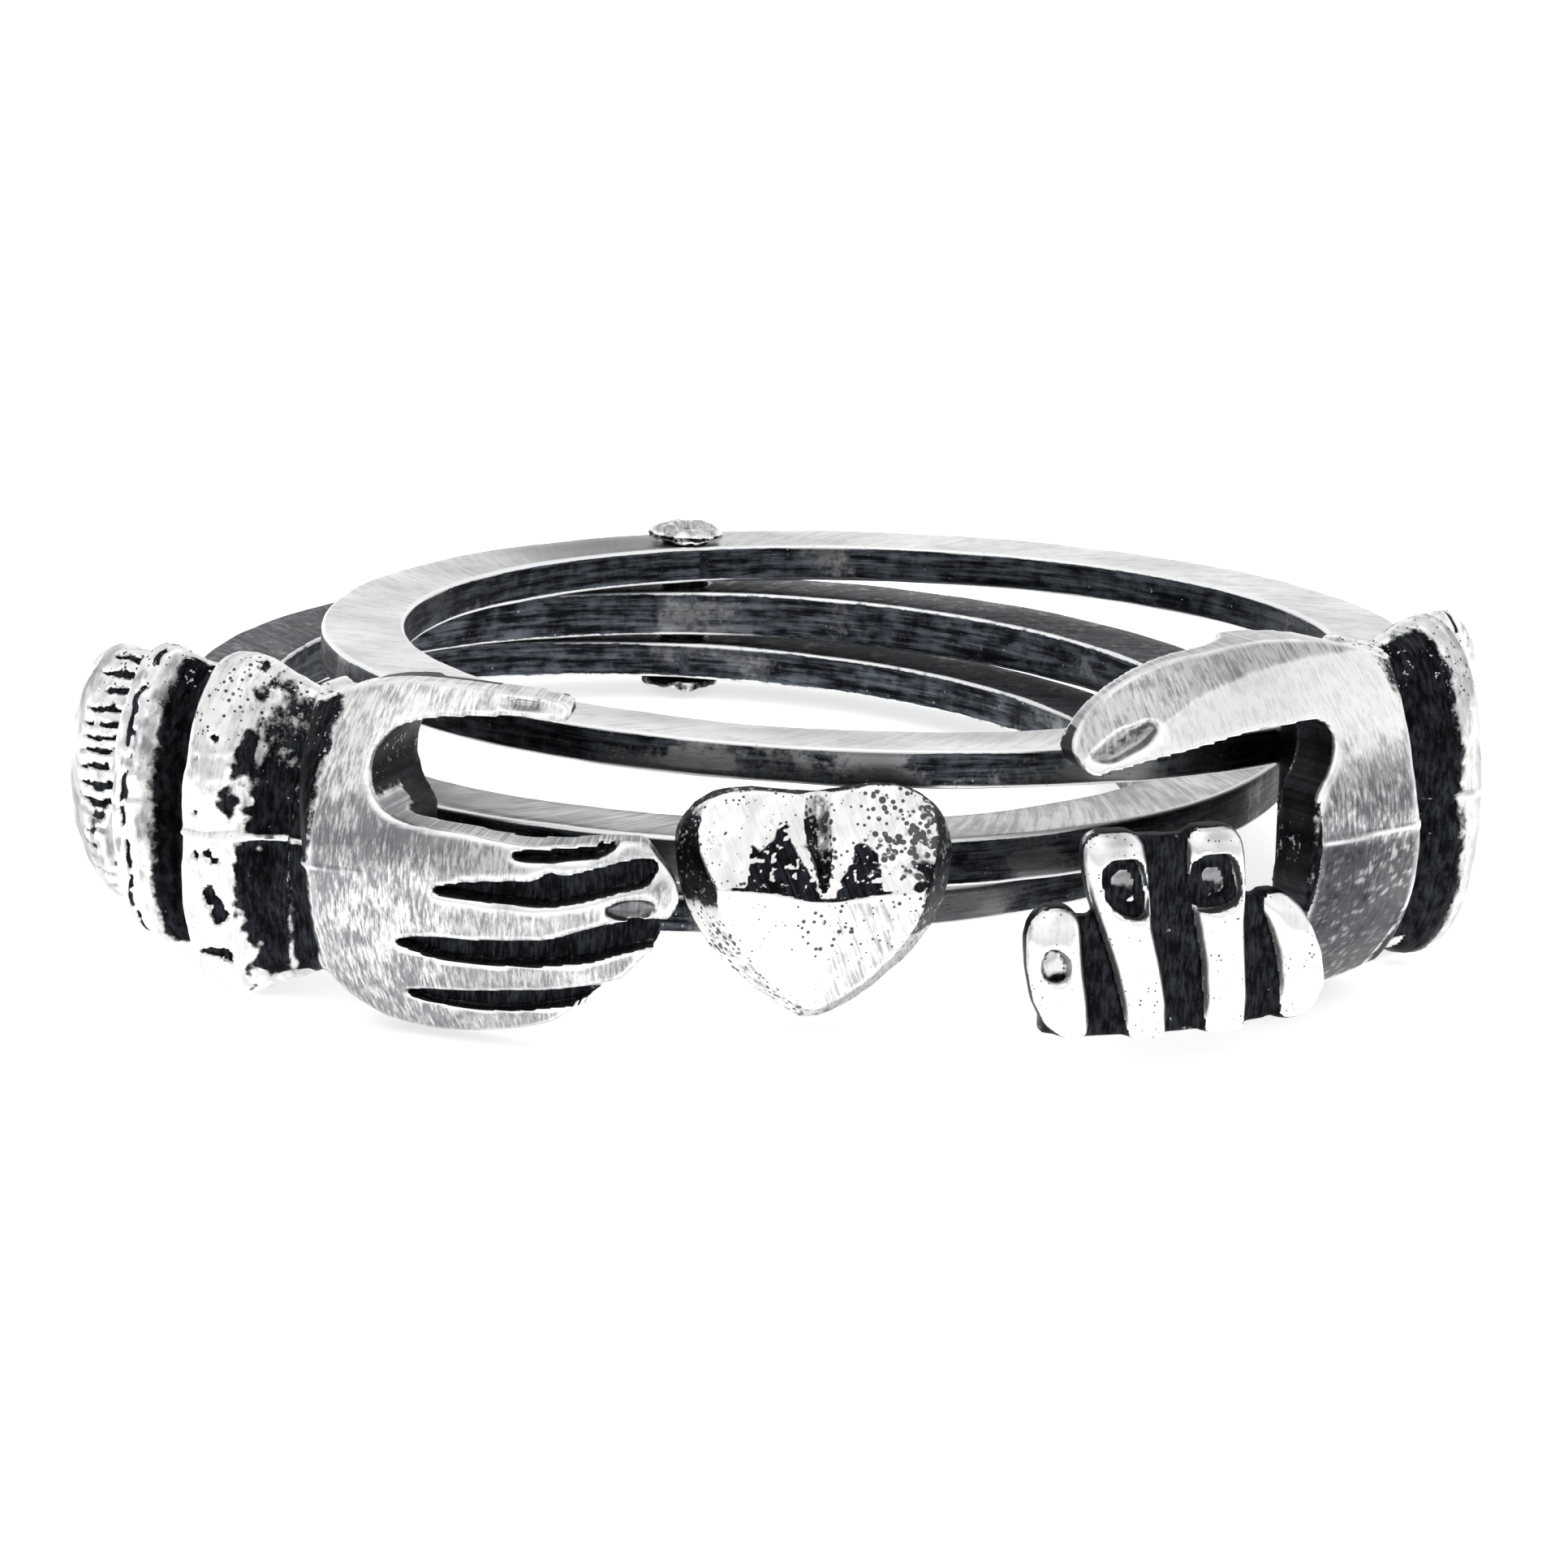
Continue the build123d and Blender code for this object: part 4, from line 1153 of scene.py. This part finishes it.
def finish_rivet(obj):
    """Blackens the rivet's dents, its pin and its lower head."""
    p, n = places(obj.data), facings(obj.data)
    black, rim = common_black(obj)
    upright = 1 - ease(np.abs(n[:, 2]), 0.3, 0.85)
    black = np.maximum.reduce([black * 1.6 + 0.25, upright, 0.95 * (p[:, 2] < 0)])
    keep_attribute(obj, "black", np.clip(black, 0, 1))
    keep_attribute(obj, "rim", np.clip(rim, 0, 1))
    for mark, value in {"rub_and_painted_shade": 0.6, "glaze_and_painted_shade": 0.3, "pits_and_glints": 0.3}.items():
        keep_attribute(obj, mark, np.full(len(p), value))
    keep_lay(obj, p[:, 0], p[:, 1])


for piece in (upper_band, middle_band, lower_band):
    finish_band(piece)
finish_rivet(rivet_pin)
print("hoops and rivet blackened and rubbed back")

# %% [markdown]
# Rolling up and setting down
#
# The unrolled hands are rolled round their hoops here, and everything comes down from millimetres to
# metres. Each piece is then told which moving body it rides on and which solid it stands for.

# %% Set down, ride and replace
roll_up(left_ornament, "left")
roll_up(right_ornament, "right")
set_down(heart, "heart")
set_down(upper_band, "right")
set_down(middle_band, "heart")
set_down(lower_band, "left")
set_down(rivet_pin, "heart")

PIECES = {
    # piece: body, solid that it stands for, slot
    right_ornament: ("right_hand", "right_hand_hoop", "right_hand_silver"),
    upper_band: ("right_hand", "right_hand_hoop", "right_hand_silver"),
    left_ornament: ("left_hand", "left_hand_hoop", "left_hand_silver"),
    lower_band: ("left_hand", "left_hand_hoop", "left_hand_silver"),
    heart: ("middle_hoop", "heart_hoop", "heart_silver"),
    middle_band: ("middle_hoop", "heart_hoop", "heart_silver"),
    rivet_pin: ("middle_hoop", "rivet", "rivet_silver"),
}
for piece, (body, solid, metal) in PIECES.items():
    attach(piece, body)
    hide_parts(solid)
    pick(piece)
    bpy.ops.object.shade_smooth_by_angle(angle=radians(40))
    print(f"{piece.name}: {len(piece.data.polygons)} faces, rides on {body}")

# %% [markdown]
# Antiqued silver
#
# Sterling silver is a pale, slightly warm metal. Rubbed with a fine cloth it is satin, with a soft
# grain of brush lines; on rims it is polished nearly white, partly as painted highlight; where the
# black of the dip stays it is a dull charcoal with a breath of blue; and where a thin film of it stays
# the metal is smoke grey, as it is where shade is painted. Pale grey painted glints fleck the black.
# One metal holds all of these: the marks on the mesh, broken up by noise, mix them.

# %% Colours and nodes
def linear(hex_colour):
    """An sRGB hex colour as linear red, green, blue, alpha."""
    parts = [int(hex_colour[i:i + 2], 16) / 255 for i in (1, 3, 5)]
    return [c / 12.92 if c <= 0.04045 else ((c + 0.055) / 1.055) ** 2.4 for c in parts] + [1.0]


def add_node(tree, kind, inputs=(), output=0, **settings):
    """Adds one node with its settings, gives its inputs values or links; returns one of its outputs."""
    node = tree.nodes.new("ShaderNode" + kind)
    for name, value in settings.items():
        setattr(node, name, value)
    for name, value in inputs.items() if isinstance(inputs, dict) else enumerate(inputs):
        if isinstance(value, bpy.types.NodeSocket):
            tree.links.new(value, node.inputs[name])
        else:
            node.inputs[name].default_value = value
    return node.outputs[output]


print("satin grey", [round(v, 3) for v in linear("#74767A")])

# %% Silver
SMOOTH = {"interpolation_type": "SMOOTHSTEP"}
COLOURS = {"output": 2, "data_type": "RGBA"}
LOW, HIGH = 6, 7


def antiqued_silver(name, streaks, darkest, dark_streak, pale_streak):
    """Silver that was blackened and rubbed back, with painted glints; streaks are counted per mm of the
    lay's x and y.
    """
    metal = bpy.data.materials.new(name)
    metal.use_nodes = True
    tree = metal.node_tree
    shader = tree.nodes["Principled BSDF"]
    add = partial(add_node, tree)

    black, rim, rub_and_painted_shade, glaze_and_painted_shade, pits_and_glints = (add("Attribute", output="Fac", attribute_name=mark)
                                     for mark in ("black", "rim", "rub_and_painted_shade", "glaze_and_painted_shade", "pits_and_glints"))
    metres = add("TexCoord", output="Object")
    place = add("VectorMath", {0: metres, "Scale": 1 / MM}, operation="SCALE")
    lay = add("UVMap", uv_map="lay")
    brushed = add("Mapping", {"Vector": lay, "Rotation": (0, 0, radians(8)), "Scale": (*streaks, 1)})

    # A cloth's lines are a few hundredths of a millimetre apart, too fine to show, so the streaks are
    # drawn coarser. Blotches of the dip are 0.4 mm, grains 0.12, slow clouds 1.4 and spongy patches
    # 0.6 mm across. These sizes were chosen.
    streak = add("TexNoise", {"Vector": brushed, "Scale": 1.0, "Detail": 3.0, "Roughness": 0.7}, "Fac")
    blotch, fine, broad, spongy = (
        add("TexNoise", {"Vector": place, "Scale": per_mm, "Detail": detail, "Roughness": 0.6}, "Fac")
        for per_mm, detail in ((2.6, 4.0), (8.0, 3.0), (0.7, 2.0), (1.6, 2.0)))

    # Where the black stays: the mark on the mesh, made ragged by blotches and fine grains
    ragged = add("Math", [blotch, 0.95, -0.475], operation="MULTIPLY_ADD")
    grains = add("Math", [fine, 0.5, -0.25], operation="MULTIPLY_ADD")
    wear = add("Math", [black, ragged], operation="ADD")
    wear = add("Math", [wear, grains], operation="ADD")
    wear = add("Math", [rim, -0.35, wear], operation="MULTIPLY_ADD")
    tone = add("MapRange", [wear, 0.34, 0.66], **SMOOTH)

    # Gas pits of the casting are a few hundredths of a millimetre wide. They are drawn as dots that
    # lie an eighth of a millimetre apart and are mostly under 0.1 mm wide, wider where it is porous.
    dots = add("TexVoronoi", {"Vector": place, "Scale": 8.0, "Randomness": 1.0}, "Distance")
    porous = add("Math", [spongy, 1.6, -0.35], operation="MULTIPLY_ADD")
    size = add("Math", [pits_and_glints, porous], operation="MULTIPLY")
    size = add("Math", [size, 0.6], operation="MULTIPLY", use_clamp=True)
    outside = add("Math", [dots, size], operation="SUBTRACT")
    pit = add("MapRange", [outside, 0.06, -0.04], **SMOOTH)
    dark_pit = add("Math", [pit, 0.9], operation="MULTIPLY")
    tone = add("Math", [tone, dark_pit], operation="MAXIMUM")

    # Satin: the plain rubbed metal, grey with pale brush strokes that come and go slowly
    stroke = add("Math", [broad, 0.9, streak], operation="MULTIPLY_ADD")
    stroke = add("MapRange", [stroke, 0.86, 1.18], **SMOOTH)
    satin = add("Mix", {0: stroke, LOW: linear("#74767A"), HIGH: linear("#F3F2EF")}, **COLOURS)

    # White: the metal that the cloth reached most, with only faint streaks
    polish = add("Math", [blotch, 0.7, streak], operation="MULTIPLY_ADD")
    polish = add("MapRange", [polish, 0.66, 0.94], **SMOOTH)
    rubbed = add("MapRange", [rub_and_painted_shade, 0.85, 1.0], **SMOOTH)
    faint = add("Mix", {0: rubbed, LOW: linear(pale_streak), HIGH: linear("#ECECEB")}, **COLOURS)
    white = add("Mix", {0: polish, LOW: faint, HIGH: linear("#FEFDFB")}, **COLOURS)

    # Clean metal: satin or white, smoked by the glaze and by painted shade, and bright on rims
    clean = add("Mix", {0: rub_and_painted_shade, LOW: satin, HIGH: white}, **COLOURS)
    clean = add("Mix", {0: glaze_and_painted_shade, LOW: clean, HIGH: linear("#3A3C41")}, **COLOURS)
    clean = add("Mix", {0: rim, LOW: clean, HIGH: linear("#FFFFFF")}, **COLOURS)

    # Soot: the black of the dip, streaked by the cloth, with painted glints of pale grey
    smear = add("Math", [blotch, 0.6, streak], operation="MULTIPLY_ADD")
    smear = add("MapRange", [smear, 0.66, 1.06], **SMOOTH)
    soot = add("Mix", {0: smear, LOW: linear(darkest), HIGH: linear(dark_streak)}, **COLOURS)
    glint = add("Math", [pits_and_glints, 1.0], operation="MINIMUM")
    glint = add("Math", [glint, 0.16, fine], operation="MULTIPLY_ADD")
    glint = add("MapRange", [glint, 0.75, 0.80], **SMOOTH)
    soot = add("Mix", {0: glint, LOW: soot, HIGH: linear("#C9CCD0")}, **COLOURS)

    # Soot is duller than clean metal, and pits and brush lines are felt as a shallow bump
    colour = add("Mix", {0: tone, LOW: clean, HIGH: soot}, **COLOURS)
    dullness = add("MapRange", [tone, 0.0, 1.0, 0.30, 0.46], **SMOOTH)
    grain = add("Math", [fine, 0.3], operation="MULTIPLY")
    relief = add("Math", [streak, 0.35, grain], operation="MULTIPLY_ADD")
    relief = add("Math", [relief, pit], operation="SUBTRACT")
    bump = add("Bump", {"Height": relief, "Strength": 0.5, "Distance": 0.02 * MM})
    shader.inputs["Metallic"].default_value = 1.0
    for socket, value in {"Base Color": colour, "Roughness": dullness, "Normal": bump}.items():
        tree.links.new(value, shader.inputs[socket])
    return metal


# On the cast pieces the streaks are 0.06 mm wide and run up the lay, on the hoops 0.12 mm and along it
cast_silver = antiqued_silver("antiqued_cast_silver", (16.0, 3.0), "#0F1012", "#34373C", "#B4B5B8")
band_silver = antiqued_silver("antiqued_rolled_silver", (0.6, 8.0), "#15161A", "#646A72", "#D4D4D5")
for piece in PIECES:
    piece.data.materials.clear()
    piece.data.materials.append(band_silver if piece.name.endswith("band") else cast_silver)
print("silver on", len(PIECES), "pieces,", len(cast_silver.node_tree.nodes), "nodes in each metal")

# %% [markdown]
# Floor and light
#
# The ring lies on a plain pale floor. It doesn't lie flat: it rests on the rivet's lower head and the
# undersides of the two hands, so the floor is a plane through those three places. A white world and
# one broad lamp overhead give the soft, nearly shadowless light of a product photograph.

# %% Floor and light
FLOOR_PLACE = Vector((-9.977, -6.476, -3.2)) * MM
FLOOR_UP = Vector((-0.0313, -0.0685, 0.9972)).normalized()

pick(heart)
bpy.ops.mesh.primitive_plane_add(size=3.0)
floor = bpy.context.object
floor.name = "floor"
tilt = FLOOR_UP.to_track_quat("Z", "Y").to_matrix().to_4x4()
floor.matrix_world = Matrix.Translation(FLOOR_PLACE) @ tilt

bpy.ops.object.light_add(type="AREA", location=(-0.05, -0.08, 0.32))
key = bpy.context.object
key.name = "overhead_softbox"
key.data.shape = "SQUARE"
key.data.size = 0.3
key.data.energy = 0.16
key.rotation_euler = (Vector((0, -0.01, 0)) - key.location).to_track_quat("-Z", "Y").to_euler()

world = bpy.data.worlds.new("studio")
bpy.context.scene.world = world
world.use_nodes = True
sky = world.node_tree
direction = add_node(sky, "TexCoord", output="Generated")
rise = add_node(sky, "SeparateXYZ", [direction], "Z")
glow = add_node(sky, "ValToRGB", [rise])
stops = glow.node.color_ramp.elements
stops[0].position, stops[0].color = 0.0, (0.30, 0.31, 0.33, 1)
stops[1].position, stops[1].color = 1.0, (0.52, 0.52, 0.53, 1)
for height, brightness in ((0.22, 0.80), (0.45, 0.90), (0.75, 0.74)):
    stops.new(height).color = (brightness, brightness * 1.005, brightness * 1.01, 1)
sky.links.new(glow, sky.nodes["Background"].inputs["Color"])
sky.nodes["Background"].inputs["Strength"].default_value = 1.15

paper = bpy.data.materials.new("white_paper")
paper.use_nodes = True
sheet = paper.node_tree.nodes["Principled BSDF"]
sheet.inputs["Base Color"].default_value = linear("#FAFAFA")
sheet.inputs["Roughness"].default_value = 0.9
sheet.inputs["Specular IOR Level"].default_value = 0.1
sheet.inputs["Emission Color"].default_value = (1, 1, 1, 1)
sheet.inputs["Emission Strength"].default_value = 0.65
floor.data.materials.append(paper)
bpy.context.scene.view_settings.view_transform = "Standard"
print("floor tilted", round(np.degrees(FLOOR_UP.angle(Vector((0, 0, 1)))), 2), "degrees")
